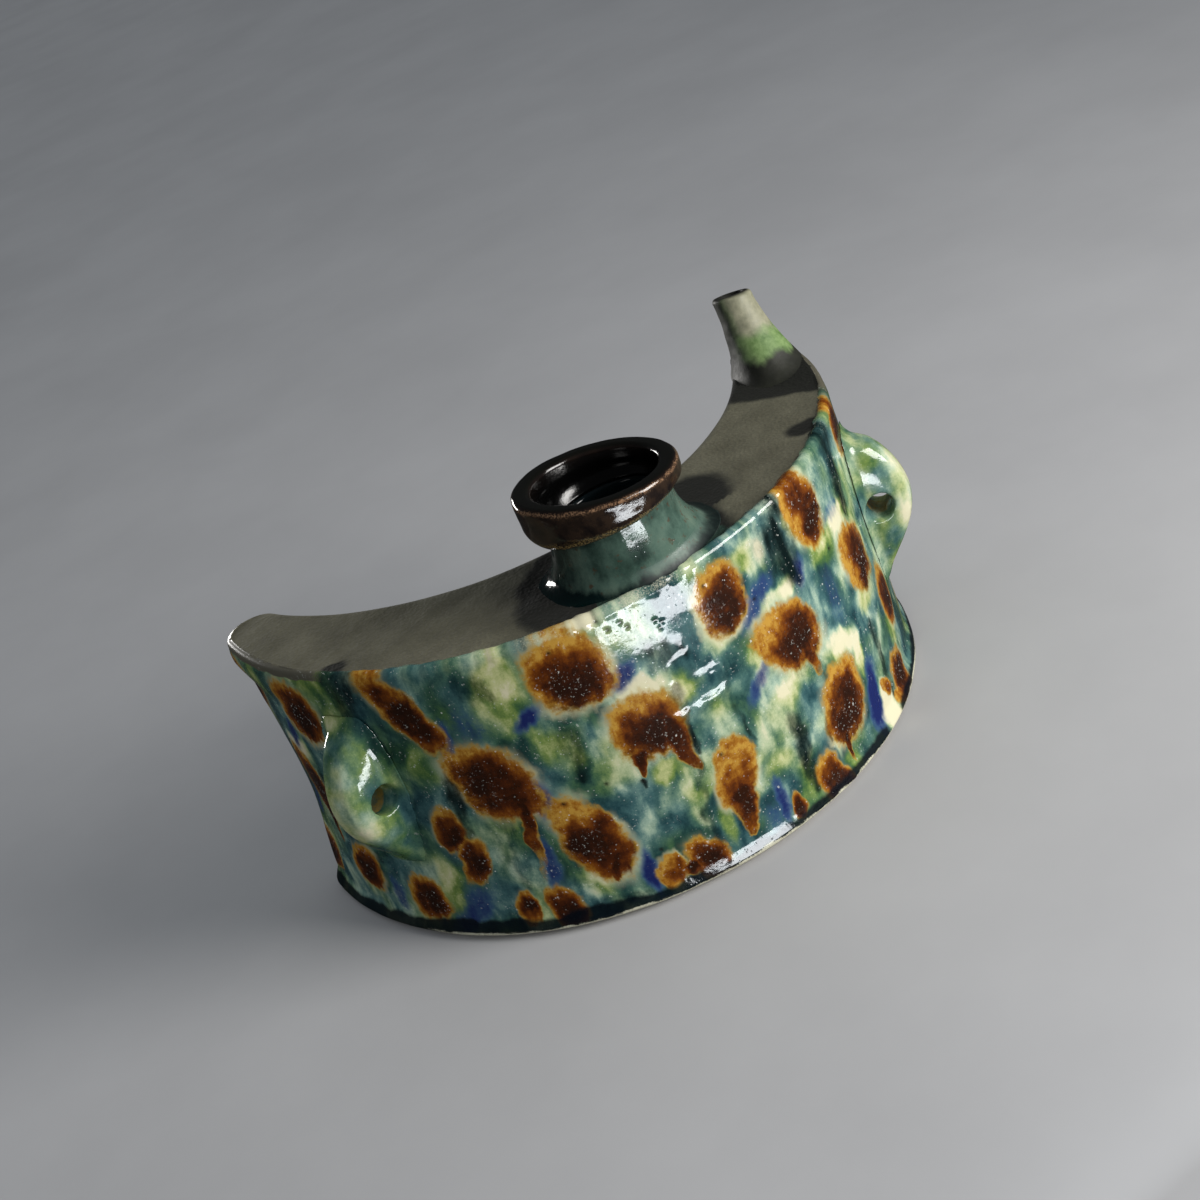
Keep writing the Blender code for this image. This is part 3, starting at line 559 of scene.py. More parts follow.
def wall_piece(name, half, rows, marks, glazed_edge):
    """Wall with its glaze, which runs over the edges of the slabs above and below it."""
    stations = whole(half)
    along = stations[:, None, 6] / MM
    top = BODY_HEIGHT - TOP_ROUND if glazed_edge else BODY_HEIGHT - BACK_STOP
    z = np.linspace(GLAZE_FOOT, top, rows)[None, :]
    up = z / MM + 0 * along
    along = along + 0 * up
    bare = place(stations, 0.0, z)

    # Colours
    wander, drift = strays(bare)
    copper, hue, cream, flow = ground(bare, along, up, marks)
    iron, rust, heart, halo = iron_field(along + wander, up + drift, marks.spots, marks.runs)
    rust = rust + 0.2 * cloud(bare, 3.5, 35)
    amber = patch_field(along + wander, up + drift, marks.amber)
    rust = np.maximum(rust - 0.55 * amber, 0.08 + 0.1 * cloud(bare, 2, 38))
    heart = heart * (1 - 0.7 * amber) * (0.85 + 0.35 * cloud(bare, 3, 36))
    halo = unit(halo * (0.55 + 1.2 * noise(bare, 7, 37)))
    cobalt = patch_field(along + wander, up + drift, marks.cobalt)
    deep = run_field(along + 1.1 * wander, up + drift, marks.deep)
    deep = deep * (0.85 + 0.3 * noise(bare, (2, 2, 6), 39))
    pit = np.zeros_like(along)
    for pit_along, pit_up in marks.pits:
        pit = np.maximum(pit, np.exp(-((along - pit_along) ** 2 + (up - pit_up) ** 2) / 0.55 ** 2))
    pool = ease((5.6 + 1.2 * flow + 1.6 * ease((-20 - along) / 25) - up) / 2.6) * (1 - unit(cream))

    # Thickness
    thick = GLAZE * (1 + 0.16 * cloud(bare, 9, 61, 2)) + 0.2 * MM * deep + 0.12 * MM * ease(iron / 0.5)
    bevel = np.clip((7 + 0.5 * noise(bare, 16, 73) - up) / 4.4, 0.0, 1.2)
    roll = np.where(bevel < 0.3, bevel * bevel / 0.6, bevel - 0.15)
    thick = thick + FOOT_ROLL * roll * (1 + 0.06 * noise(bare, 9, 71))
    thick = thick * np.sqrt(unit((z - GLAZE_FOOT) / (1.2 * MM)))
    rough = 1 + 0.35 * noise(bare, 2.4, 65) + 0.3 * noise(bare, 1.2, 66)
    for ripple in marks.ripples:
        across = (along + 1.2 * wander - ripple.along) / ripple.wide
        upward = (up + 0.5 * drift - ripple.up - ripple.lean * across) / ripple.high
        slope = np.where(upward > 0, np.clip(1 - upward, 0.0, None), np.exp(-(upward / 0.5) ** 2))
        thick = thick + ripple.amount * MM * rough * slope * ease((1.3 - np.abs(across)) / 0.6)
    thick = thick - 0.28 * MM * pit + 0.012 * MM * cloud(bare, 4, 63)
    thick = thick + 0.17 * MM * noise(bare, 1.8, 67) * ease((up - TOP_BAND) / 2)
    ends = ease((np.abs(along) - HORN_START) / HORN_FADE)
    thin = ends if glazed_edge else np.ones_like(ends)
    thick = thick * (1 - 0.95 * thin * ease((z - top + 2.5 * MM) / (2.5 * MM)))
    swell = 0.22 * MM * noise(bare, (28, 28, 22), 81)
    skin = place(stations, thick + swell * ease(up / 12) * ease((83 - up) / 10), z)

    # Over the top edge, and down the hidden inside
    edge = thick[:, -1:]
    turns = np.radians((25, 50, 72, 90))[None, :]
    curl = (TOP_ROUND + edge) * np.cos(turns) - TOP_ROUND
    curl_z = BODY_HEIGHT - TOP_ROUND + (TOP_ROUND + edge) * np.sin(turns)
    creep = EDGE_CREEP * (1 + 0.9 * noise(bare[:, -1:], 2.5, 91)) * (1 - ends[:, -1:])
    feather_out = -TOP_ROUND - creep
    feather_z = np.full_like(creep, BODY_HEIGHT + 0.02 * MM)
    if not glazed_edge:
        curl = 0 * curl - 0.1 * MM * np.arange(1, 5)
        curl_z = 0 * curl_z + z[:, -1:]
        feather_out = 0 * creep - 0.6 * MM
        feather_z = 0 * creep + z[:, -1:]
    rim = place(stations, curl, curl_z)
    feather = place(stations, feather_out, feather_z)
    inside_z = np.array((WALL_TOP, WALL_TOP, 0.05, WALL_FOOT, WALL_FOOT))[None, :]
    inside_out = np.array((0.0, -WALL, -WALL, -WALL, 0.0))[None, :]
    inside = place(stations, inside_out, inside_z + 0 * along[:, :1])

    piece = loft(name, np.concatenate((skin, rim, feather, inside), 1), caps=True)
    over = rim.shape[1] + feather.shape[1]
    hidden = inside.shape[1]

    def stretch(field):
        """Carry a field on over the top edge, and leave the hidden inside without it."""
        tail = np.repeat(field[:, -1:], over, 1)
        return np.concatenate((field, tail, np.zeros((len(field), hidden))), 1)

    sides = 1 - 0.6 * ease((np.abs(along) - 45) / 25)
    broken = ease((up - 82.4 - 0.5 * wander) / 2.2) * sides * (0.78 + 0.25 * noise(bare, 9, 95))
    broken = np.maximum(broken, 0.9 * ease((2.9 + 0.4 * wander - up) / 0.6)) * glazed_edge * (1 - ends)
    dry = ease((up - 82.3 - 0.5 * wander) / 0.8) * ends
    fields = (copper, hue, cobalt, deep, iron, rust, heart, pool, broken, dry, halo, pit)
    paint(piece, **{layer: stretch(field) for layer, field in zip(GLAZE_LAYERS, fields)})
    return piece


def plain_layers(piece, **known):
    """Give a piece every glaze layer, with nothing in those that aren't named."""
    nothing = np.zeros(len(piece.data.vertices))
    paint(piece, **{**dict.fromkeys(GLAZE_LAYERS, nothing), **known})


# Top slab


def shoulder_piece():
    """Top slab as a fine grid, with the mouth's hole and the spout's hole through it."""
    front = whole(half_wall(FRONT, *SLAB_STEPS))
    back = whole(half_wall(BACK, *SLAB_STEPS))
    turns = np.radians((0, 30, 60, 90))[None, :]
    low = np.full((len(front), 1), BODY_HEIGHT - TOP_THICKNESS)
    sides = []
    for stations in (front, back):
        wobble = 0.25 * MM * noise(place(stations, 0.0, low), 14, 5)
        curl = TOP_ROUND * (np.cos(turns) - 1) + wobble
        height = BODY_HEIGHT - TOP_ROUND * (1 - np.sin(turns)) + 0 * curl
        sides.append(np.concatenate((place(stations, wobble, low), place(stations, curl, height)), 1))
    share = np.linspace(0.0, 1.0, SLAB_ROWS + 1)[None, 1:-1, None]
    top = sides[0][:, -1:] * (1 - share) + sides[1][:, -1:] * share
    top[..., 2] += 0.18 * MM * cloud(top, 11, 7)
    under = sides[1][:, :1] * (1 - share) + sides[0][:, :1] * share
    rings = np.concatenate((sides[0], top, sides[1][:, ::-1], under), 1)
    size = rings.shape[1]
    edge = sides[0].shape[1]
    count = SLAB_ROWS - 1

    middles = (top[:-1, :-1] + top[1:, :-1] + top[:-1, 1:] + top[1:, 1:]) / 4
    from_mouth = np.hypot(middles[..., 0], middles[..., 1])
    from_spout = np.hypot(middles[..., 0] - SPOUT_X - SPOUT_BORE_SHIFT, middles[..., 1] - SPOUT_Y)
    gone = (from_mouth < NECK_BORE + 1.2 * MM) | (from_spout < SPOUT_BORE_FOOT + 0.6 * MM)
    gone = np.pad(gone, 1)
    faces = []
    for row, cell in np.argwhere(gone) - 1:
        for step_row, step_cell, *ends in (
            (-1, 0, (0, 0), (0, 1)),
            (1, 0, (1, 0), (1, 1)),
            (0, -1, (0, 0), (1, 0)),
            (0, 1, (0, 1), (1, 1)),
        ):
            if not gone[row + step_row + 1, cell + step_cell + 1]:
                above = [(row + r) * size + edge + cell + c for r, c in ends]
                below = [(row + r + 1) * size - 1 - cell - c for r, c in ends]
                faces.append((*above, *below[::-1]))
    for row in range(len(rings) - 1):
        near = row * size
        far = near + size
        for i in range(size):
            j = (i + 1) % size
            cell = None
            if edge <= i < edge + count - 1:
                cell = i - edge
            elif size - count <= i < size - 1:
                cell = size - 2 - i
            if cell is None or not gone[row + 1, cell + 1]:
                faces.append((near + i, near + j, far + j, far + i))
    piece = new_piece("shoulder", rings, [tuple(map(int, face)) for face in faces])
    tidy = bmesh.new()
    tidy.from_mesh(piece.data)
    bmesh.ops.remove_doubles(tidy, verts=tidy.verts, dist=1e-6)
    bmesh.ops.dissolve_degenerate(tidy, edges=tidy.edges, dist=1e-7)
    bmesh.ops.recalc_face_normals(tidy, faces=tidy.faces)
    tidy.to_mesh(piece.data)
    tidy.free()
    return piece


def shoulder_layers(piece):
    """Bare clay with glaze that ran down from the neck, a darker ring round the neck, painted shade round
    the spout's foot, and a few dark smears.
    """
    points = corners_of(piece)
    x, y = points[:, 0] / MM, points[:, 1] / MM
    wander = cloud(points, 6, 3)
    ring = np.hypot((x - 0.8) / 22, y / 18.5)
    pool = ease((1.1 + 0.05 * wander - ring) / 0.12)
    front_run = ease((21 - np.abs(x - 1) + 3 * wander) / 6) * ease((-6 - y + wander) / 4)
    # A darker ring round the neck that reaches further out at its right and its left, and a darker haze
    # to its left
    turn = np.degrees(np.arctan2(y, x)) % 360
    reach = 27 + 11 * np.exp(-((turn - 24) / 24) ** 2) + 7 * np.exp(-((turn - 200) / 40) ** 2)
    stain = ease((reach + 4 + 1.5 * wander - np.hypot(x, y)) / 9)
    haze = ease((52 + 3 * wander - np.hypot(x, y)) / 26) * ease((-x - 6) / 14)
    stain = np.maximum(stain, 0.4 * haze)
    # Painted shade: the slab darkens round the spout's foot
    horn = (x - 71) * 0.74 + (y - 41) * 0.67
    stain = np.maximum(stain, 1.1 * ease((horn + 7 + 1.2 * wander) / 5))
    for along, back, wide in ((62.6, 12.8, 5.6), (-75, 24, 4)):
        smear = np.hypot((x - along + 1.6 * wander) / wide, (y - back + 1.6 * wander) / (0.8 * wide))
        stain = np.maximum(stain, 1.1 * ease((1.5 - smear) / 1.2))
    paint(piece, glazed=np.maximum(pool, front_run), stain=stain)


# Neck, lip and spout


def ellipses(length, width, height, sides, shift=(0.0, 0.0), turn=0.0, tilt=(0.0, 0.0)):
    """Rings of points, one for each row of the sizes; tilt is their rise per metre of X and of Y."""
    angle = np.linspace(0, 2 * math.pi, sides, endpoint=False)[None, :]
    length, width, height = (np.asarray(value, float)[:, None] for value in (length, width, height))
    shift_x, shift_y, tilt_x, tilt_y = (np.asarray(v, float).reshape(-1, 1) for v in (*shift, *tilt))
    along, side = length * np.cos(angle), width * np.sin(angle)
    x = along * math.cos(turn) - side * math.sin(turn)
    y = along * math.sin(turn) + side * math.cos(turn)
    return np.stack((shift_x + x, shift_y + y, height + tilt_x * x + tilt_y * y), -1)


def wobbled(rings, middle, outside, lift):
    """Rings whose first ones, those on the outside, are pushed away from the middle by a lift."""
    way = (rings - middle) * np.array((1, 1, 0))
    way = way / np.linalg.norm(way, axis=-1, keepdims=True)
    lift[outside:] = 0
    return rings + way * lift[..., None]


def neck_piece():
    """Thrown collar with a flared foot, and a plain bore down through the slab."""
    share = np.linspace(0.0, 1.0, 52) ** 1.6
    flare = (1 - share) ** NECK_FLARE
    soft = fillet(NECK_HEIGHT * share, FOOT_FILLET)
    length = soft + NECK_RADIUS + (NECK_FOOT_LENGTH - NECK_RADIUS) * flare
    width = 0.3 * soft + NECK_RADIUS + (NECK_FOOT_DEPTH - NECK_RADIUS) * flare
    height = BODY_HEIGHT - 0.1 * MM + (NECK_HEIGHT + 0.6 * MM) * share
    shift = (NECK_FOOT_SHIFT * flare, 0.0)
    outside = ellipses(length, width, height, NECK_SIDES, shift, tilt=np.outer(NECK_TILT, share))
    hollow = np.linspace(1.0, 0.0, 12)
    bore = np.full_like(hollow, NECK_BORE)
    deep_end = BODY_HEIGHT - TOP_THICKNESS
    bore_height = deep_end + (BODY_HEIGHT + NECK_HEIGHT + 0.5 * MM - deep_end) * hollow
    inside = ellipses(bore, bore, bore_height, NECK_SIDES, tilt=np.outer(NECK_TILT, hollow))
    rings = np.concatenate((outside, inside))
    rings = wobbled(rings, 0, len(outside), 0.24 * MM * cloud(rings, (9, 9, 12), 15, 2))
    piece = loft("neck_glazed", rings, joined=True)

    points = rings.reshape(-1, 3)
    x, y, z = points.T / MM
    inner = np.repeat(np.arange(len(rings)) >= len(outside), NECK_SIDES).astype(float)
    flow = cloud(points, (6, 6, 9), 17)
    copper = 0.5 + 0.34 * flow
    facing = np.degrees(np.arctan2(x, -y))
    drip = np.exp(-((facing + 6 + 4 * flow) / 9) ** 2) * ease((z - 88) / 3) * ease((98 - z) / 4)
    # Painted shade, carried by the deep layer with a real dark drip: darker under the lip, at the foot
    # and down the left
    shade = 0.4 * ease((z - 96.5) / 2) + ease((87.8 + 0.8 * flow - z) / 2.6)
    side = ease((-38 - facing + 8 * flow) / 40) * ease((170 + facing) / 60)
    deep = np.clip(shade + 0.8 * drip + 0.85 * side, 0, 1.2)
    # The pool layer paints the bore near black: painted shade inside the neck
    plain_layers(piece, copper=copper, hue=0.45 + 0.3 * flow, deep=deep, pool=inner)
    paint(piece, foot=ease((89 + 0.6 * flow - z) / 2) * ease((facing + 40) / 40))
    return piece


def lip_piece():
    """Heavy ring round the mouth, with an undercut below it and a funnel inside."""
    mouth = LIP_RADIUS - LIP_BAND
    foot = NECK_RADIUS + JOINT
    ledge = foot + LIP_LEDGE
    swell = np.linspace(0.0, 1.0, 18)
    tuck = unit(swell / LIP_TUCK)
    side_radius = ledge + (LIP_RADIUS - ledge - LIP_SPLAY) * (1 - (1 - tuck) ** 2)
    side_radius = side_radius + LIP_SPLAY * unit((swell - LIP_TUCK) / (1 - LIP_TUCK))
    side_share = LIP_UNDERCUT + LIP_WIDEST * swell
    outer = np.radians(np.linspace(0, 90, 9))
    inner = np.radians(np.linspace(90, 180, 9))
    crown_radius = np.concatenate((
        side_radius[-1] - LIP_ROUND * (1 - np.cos(outer)),
        mouth + LIP_ROUND * (1 + np.cos(inner)),
    ))
    crown_drop = LIP_ROUND * (1 - np.sin(np.concatenate((outer, inner))))
    throat_share = np.linspace(LIP_THROAT[1] + 0.2, 0.0, 10)
    funnel = unit(throat_share / LIP_THROAT[1])
    throat_radius = NECK_BORE + LIP_THROAT[0] * (mouth - NECK_BORE) * np.sin(funnel * math.pi / 2)
    radius = np.concatenate(((foot - MM,), side_radius, crown_radius, throat_radius))
    share = np.concatenate(((0.0,), side_share, 1 - crown_drop / LIP_HEIGHT, throat_share))
    seat = BODY_HEIGHT + NECK_HEIGHT + 2 * JOINT
    lean = unit(share / (1 - LIP_ROUND / LIP_HEIGHT))
    tilt = [NECK_TILT[k] + (LIP_TILT[k] - NECK_TILT[k]) * lean for k in range(2)]
    height = seat + LIP_HEIGHT * share
    rings = ellipses(radius, radius, height, LIP_SIDES, (LIP_SHIFT, 0.0), tilt=tilt)
    outside = 1 + len(swell) + len(outer)
    rings = wobbled(rings, np.array((LIP_SHIFT, 0, 0)), outside, 0.22 * MM * cloud(rings, (8, 8, 4), 19))
    piece = loft("lip_glazed", rings, joined=True)

    grain = 0.9 * cloud(rings, 2.2, 23)
    row = np.arange(len(radius), dtype=float)[:, None] + 0 * grain
    rim_row = 1 + len(swell) + 2
    paint(
        piece,
        rim_line=np.exp(-((row - rim_row + grain) / 2) ** 2),
        low_line=np.exp(-((row - 3.5 + 1.6 * grain) / 2.6) ** 2),
        top_band=ease((row - rim_row - 2) / 3) * ease((rim_row + 13 - row) / 3),
        # The inside of the mouth, which the lip's material paints near black as painted shade
        inner=ease((row - rim_row - 12) / 4),
        side=ease((rim_row + 1 - row) / 2),
    )
    return piece


def edge_drop(points):
    """How far the slab's rounded edge lies below its top, at each point."""
    x, y = np.abs(points[..., 0]), points[..., 1]
    front = OUTER_RADIUS - np.hypot(x, y - OUTER_CENTRE_Y)
    back = np.hypot(x, y - INNER_CENTRE_Y) - INNER_RADIUS
    inset = np.minimum(front, back)
    past = (x - TIP_X) * math.cos(TIP_MIDDLE) + (y - TIP_Y) * math.sin(TIP_MIDDLE) > 0
    inset = np.where(past, TIP_RADIUS - np.hypot(x - TIP_X, y - TIP_Y), inset)
    share = unit(1 - inset / TOP_ROUND)
    return TOP_ROUND * (1 - np.sqrt(1 - share ** 2)) + np.clip(-inset, 0.0, None)


def spout_piece():
    """Tapered pouring spout, whose flared foot follows the slab's rounded edge down."""
    shoulder = SPOUT_HEIGHT - SPOUT_ROUND
    step = np.linspace(0.0, 1.0, 50) ** 1.7
    height = shoulder * step
    flare = (1 - step) ** SPOUT_FLARE
    soft = fillet(height, FOOT_FILLET)
    length = soft + SPOUT_RADIUS + (SPOUT_FOOT_LENGTH - SPOUT_RADIUS) * flare
    width = 0.3 * soft + SPOUT_RADIUS + (SPOUT_FOOT_WIDTH - SPOUT_RADIUS) * flare
    turns = np.radians(np.linspace(15, 90, 6))
    radius = SPOUT_RADIUS - SPOUT_ROUND * (1 - np.cos(turns))
    crown = SPOUT_HEIGHT - SPOUT_ROUND * (1 - np.sin(turns))
    hollow = np.linspace(1.0, 0.0, 14)
    bore = SPOUT_BORE_FOOT + (SPOUT_BORE - SPOUT_BORE_FOOT) * hollow
    lean = np.concatenate((height / SPOUT_HEIGHT, crown / SPOUT_HEIGHT, hollow))
    tilt = np.concatenate((step, 0 * crown + 1, hollow))
    start = np.concatenate((0 * step, 0 * crown, SPOUT_BORE_SHIFT * (1 - hollow)))
    shift = (SPOUT_X + start + SPOUT_LEAN[0] * lean, SPOUT_Y + SPOUT_LEAN[1] * lean)
    along = np.concatenate((length, radius, bore))
    side = np.concatenate((width, radius, bore))
    up = BODY_HEIGHT - 0.1 * MM + np.concatenate((height, crown, SPOUT_HEIGHT * hollow))
    rings = ellipses(along, side, up, SPOUT_SIDES, shift, SPOUT_TURN, np.outer(SPOUT_CUT, tilt))
    middle = np.stack((*shift, up), -1)[:, None, :]
    rings = wobbled(rings, middle, len(step) + len(crown), 0.22 * MM * cloud(rings, 6, 27))
    sag = np.concatenate(((1 - step) ** 2, 0 * crown, 0 * hollow))[:, None]
    rings[..., 2] -= sag * edge_drop(rings)
    piece = loft("spout_glazed", rings, joined=True)

    share = np.repeat(np.concatenate((height / SPOUT_HEIGHT, 0 * crown + 1, hollow)), SPOUT_SIDES)
    # inner is the inside of the mouth, which the material paints dark as painted shade
    inner = np.concatenate((0 * step, np.linspace(0.3, 0.9, len(crown)), 0 * hollow + 1))
    inner = np.repeat(inner, SPOUT_SIDES)
    points = rings.reshape(-1, 3)
    wander = cloud(points, 4, 29)
    band = share + 0.05 * wander
    axis_x = SPOUT_X + SPOUT_LEAN[0] * share
    axis_y = SPOUT_Y + SPOUT_LEAN[1] * share
    facing = np.arctan2(points[:, 0] - axis_x, axis_y - points[:, 1])
    # Painted shade: cream and green fade down the left side, and the dark olive foot is partly painted
    # shade
    shade = ease((-0.55 - facing + 0.15 * wander) / 0.9) * ease((facing + 2.9) / 0.5)
    cream = ease((band - 0.36) / 0.26)
    lower = 0.11 * ease(facing + 0.1)
    green = ease((band + lower - 0.15) / 0.16)
    paint(piece, cream=cream * (1 - 0.92 * shade), green=green * (1 - 0.8 * shade), inner=inner)
    return piece


# Lugs


def lug_piece(name, node, angle):
    """Lug smoothed all over, with a soft foot where it was pressed on to the wall."""
    rough = add_object(name + "_rough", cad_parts[node].data.copy())
    remesh = rough.modifiers.new("remesh", "REMESH")
    remesh.mode = "VOXEL"
    remesh.voxel_size = 0.45 * MM
    smooth = rough.modifiers.new("smooth", "SMOOTH")
    smooth.factor = 0.5
    smooth.iterations = 14
    bpy.context.view_layer.update()
    ready = rough.evaluated_get(bpy.context.evaluated_depsgraph_get())
    made = bpy.data.meshes.new_from_object(ready)
    bpy.data.objects.remove(rough)
    made.name = name
    made.materials.clear()
    made.shade_smooth()
    piece = add_object(name, made)

    points = corners_of(piece)
    centre = np.array((0.0, OUTER_CENTRE_Y))
    out = np.array((math.cos(angle), math.sin(angle)))
    side = np.array((-out[1], out[0]))
    flat = points[:, :2] - centre
    away = np.hypot(flat[:, 0], flat[:, 1]) - OUTER_RADIUS
    across = flat @ side
    normals = np.empty(points.size, np.float32)
    piece.data.vertices.foreach_get("normal", normals)
    normals = normals.reshape(-1, 3)
    slide = np.stack((normals[:, :2] @ side, normals[:, 2]), -1)
    slide = slide / np.maximum(np.linalg.norm(slide, axis=-1, keepdims=True), 0.3)
    soft = fillet(away - LUG_SKIN, LUG_FILLET)
    points[:, :2] += (slide[:, 0] * soft)[:, None] * side
    points[:, 2] += slide[:, 1] * soft
    piece.data.vertices.foreach_set("co", points.astype(np.float32).ravel())
    foot = ease((LUG_SKIN + 1.4 * LUG_FILLET - away) / LUG_FILLET)

    wander = cloud(points, 5, 33)
    crest = ease((away - 8.5 * MM) / (4 * MM))
    flow = cloud(points, (5, 5, 9), 37)
    copper = (0.54 if points[0, 0] < 0 else 0.36) + 0.2 * flow - 0.28 * crest
    hole = np.hypot(away - LUG_HOLE_OUT, points[:, 2] - LUG_HOLE_UP) / LUG_HOLE
    bore = ease((1.12 - hole) / 0.25) * ease((4.6 * MM - np.abs(across)) / (1.5 * MM))
    flat = points[:, :2] - centre
    round_wall = np.hypot(flat[:, 0], flat[:, 1])[:, None]
    bare = np.column_stack((centre + flat / round_wall * (OUTER_RADIUS + MM), points[:, 2]))
    along = (np.arctan2(flat[:, 1], flat[:, 0]) - MIDDLE) * OUTER_RADIUS / MM
    wall_copper, wall_hue, _, _ = ground(bare, along, points[:, 2] / MM, FRONT_MARKS)
    copper = copper + (wall_copper - copper) * foot
    hue = 0.54 + 0.33 * wander
    hue = hue + (wall_hue - hue) * foot
    plain_layers(piece, copper=copper, hue=hue, iron=0.25 * bore, rust=0.5 * bore)
    return piece


# Materials


class Nodes:
    """Short ways to add nodes to one material, with the colour that its coats build up.

    A value is a number, a socket, or the name of a layer that is painted on the piece.
    """

    def __init__(self, name):
        self.material = bpy.data.materials.new(name)
        self.material.use_nodes = True
        self.tree = self.material.node_tree
        self.shader = self.tree.nodes["Principled BSDF"]
        self.place = self.node("TexCoord").outputs["Object"]
        self.colour = None

    def put(self, value, socket):
        if isinstance(value, str):
            node = self.node("Attribute")
            node.attribute_name = value
            value = node.outputs["Fac"]
        if isinstance(value, bpy.types.NodeSocket):
            self.tree.links.new(value, socket)
        else:
            socket.default_value = value

    def node(self, kind, **inputs):
        """A new node with some inputs, whose names have _ in the place of a space."""
        node = self.tree.nodes.new("ShaderNode" + kind)
        for name, value in inputs.items():
            self.put(value, node.inputs[name.replace("_", " ")])
        return node

    def math(self, kind, first, second):
        node = self.node("Math")
        node.operation = kind
        self.put(first, node.inputs[0])
        self.put(second, node.inputs[1])
        return node.outputs[0]

    def plus(self, first, second):
        return self.math("ADD", first, second)

    def times(self, first, second):
        return self.math("MULTIPLY", first, second)

    def noise(self, scale, detail=3, rough=0.55, stretch=(1.0, 1.0, 1.0)):
        vector = self.place
        if stretch != (1.0, 1.0, 1.0):
            vector = self.node("Mapping", Vector=vector, Scale=stretch).outputs[0]
        node = self.node("TexNoise", Vector=vector, Scale=scale, Detail=detail, Roughness=rough)
        return node.outputs["Fac"]

    def cells(self, scale):
        return self.node("TexVoronoi", Vector=self.place, Scale=scale).outputs["Distance"]

    def fit(self, value, low, high, to_low=0.0, to_high=1.0):
        """Smooth step of a value from one range to another."""
        node = self.node("MapRange", Value=value, From_Min=low, From_Max=high)
        node.interpolation_type = "SMOOTHSTEP"
        self.put(to_low, node.inputs["To Min"])
        self.put(to_high, node.inputs["To Max"])
        return node.outputs["Result"]

    def ramp(self, value, stops):
        node = self.node("ValToRGB", Fac=value)
        points = node.color_ramp.elements
        while len(points) < len(stops):
            points.new(0.5)
        for point, (position, colour) in zip(points, stops):
            point.position = position
            point.color = (*colour, 1.0)
        return node.outputs["Color"]

    def mix(self, share, first, second):
        node = self.node("Mix", Factor=share)
        node.data_type = "RGBA"
        for value, socket in ((first, node.inputs[6]), (second, node.inputs[7])):
            self.put(value if isinstance(value, bpy.types.NodeSocket) else (*value, 1.0), socket)
        return node.outputs[2]

    def coat(self, share, colour):
        """Lay a colour over the material's own."""
        self.colour = self.mix(share, self.colour, colour)

    def grain(self, value, *shakes):
        """A value shaken by noises, each with its amount."""
        for noise, amount in shakes:
            value = self.plus(value, self.times(self.math("SUBTRACT", noise, 0.5), amount))
        return value

    def bump(self, height, strength):
        node = self.node("Bump", Height=height, Strength=strength, Distance=BUMP_DEPTH)
        self.put(node.outputs["Normal"], self.shader.inputs["Normal"])

    def finish(self, roughness):
        self.put(self.colour, self.shader.inputs["Base Color"])
        self.put(roughness, self.shader.inputs["Roughness"])
        return self.material


GREEN_STOPS = (
    (0.0, (0.67, 0.63, 0.43)),
    (0.22, (0.46, 0.49, 0.22)),
    (0.42, (0.175, 0.255, 0.065)),
    (0.6, (0.062, 0.134, 0.038)),
    (0.8, (0.02, 0.062, 0.034)),
    (1.0, (0.005, 0.024, 0.018)),
)
TEAL_STOPS = (
    (0.0, (0.66, 0.64, 0.46)),
    (0.22, (0.36, 0.48, 0.37)),
    (0.42, (0.13, 0.235, 0.21)),
    (0.6, (0.048, 0.12, 0.125)),
    (0.8, (0.016, 0.056, 0.066)),
    (1.0, (0.005, 0.02, 0.027)),
)
NECK_STOPS = (
    (0.2, (0.11, 0.165, 0.125)),
    (0.5, (0.068, 0.118, 0.092)),
    (0.75, (0.032, 0.062, 0.048)),
    (1.0, (0.012, 0.022, 0.017)),
)
IRON_STOPS = (
    (0.0, (0.47, 0.26, 0.042)),
    (0.2, (0.3, 0.118, 0.011)),
    (0.45, (0.155, 0.041, 0.004)),
    (0.75, (0.062, 0.014, 0.003)),
    (1.0, (0.026, 0.007, 0.002)),
)
COBALT_STOPS = (
    (0.1, (0.1, 0.19, 0.265)),
    (0.5, (0.038, 0.082, 0.22)),
    (1.0, (0.01, 0.018, 0.1)),
)


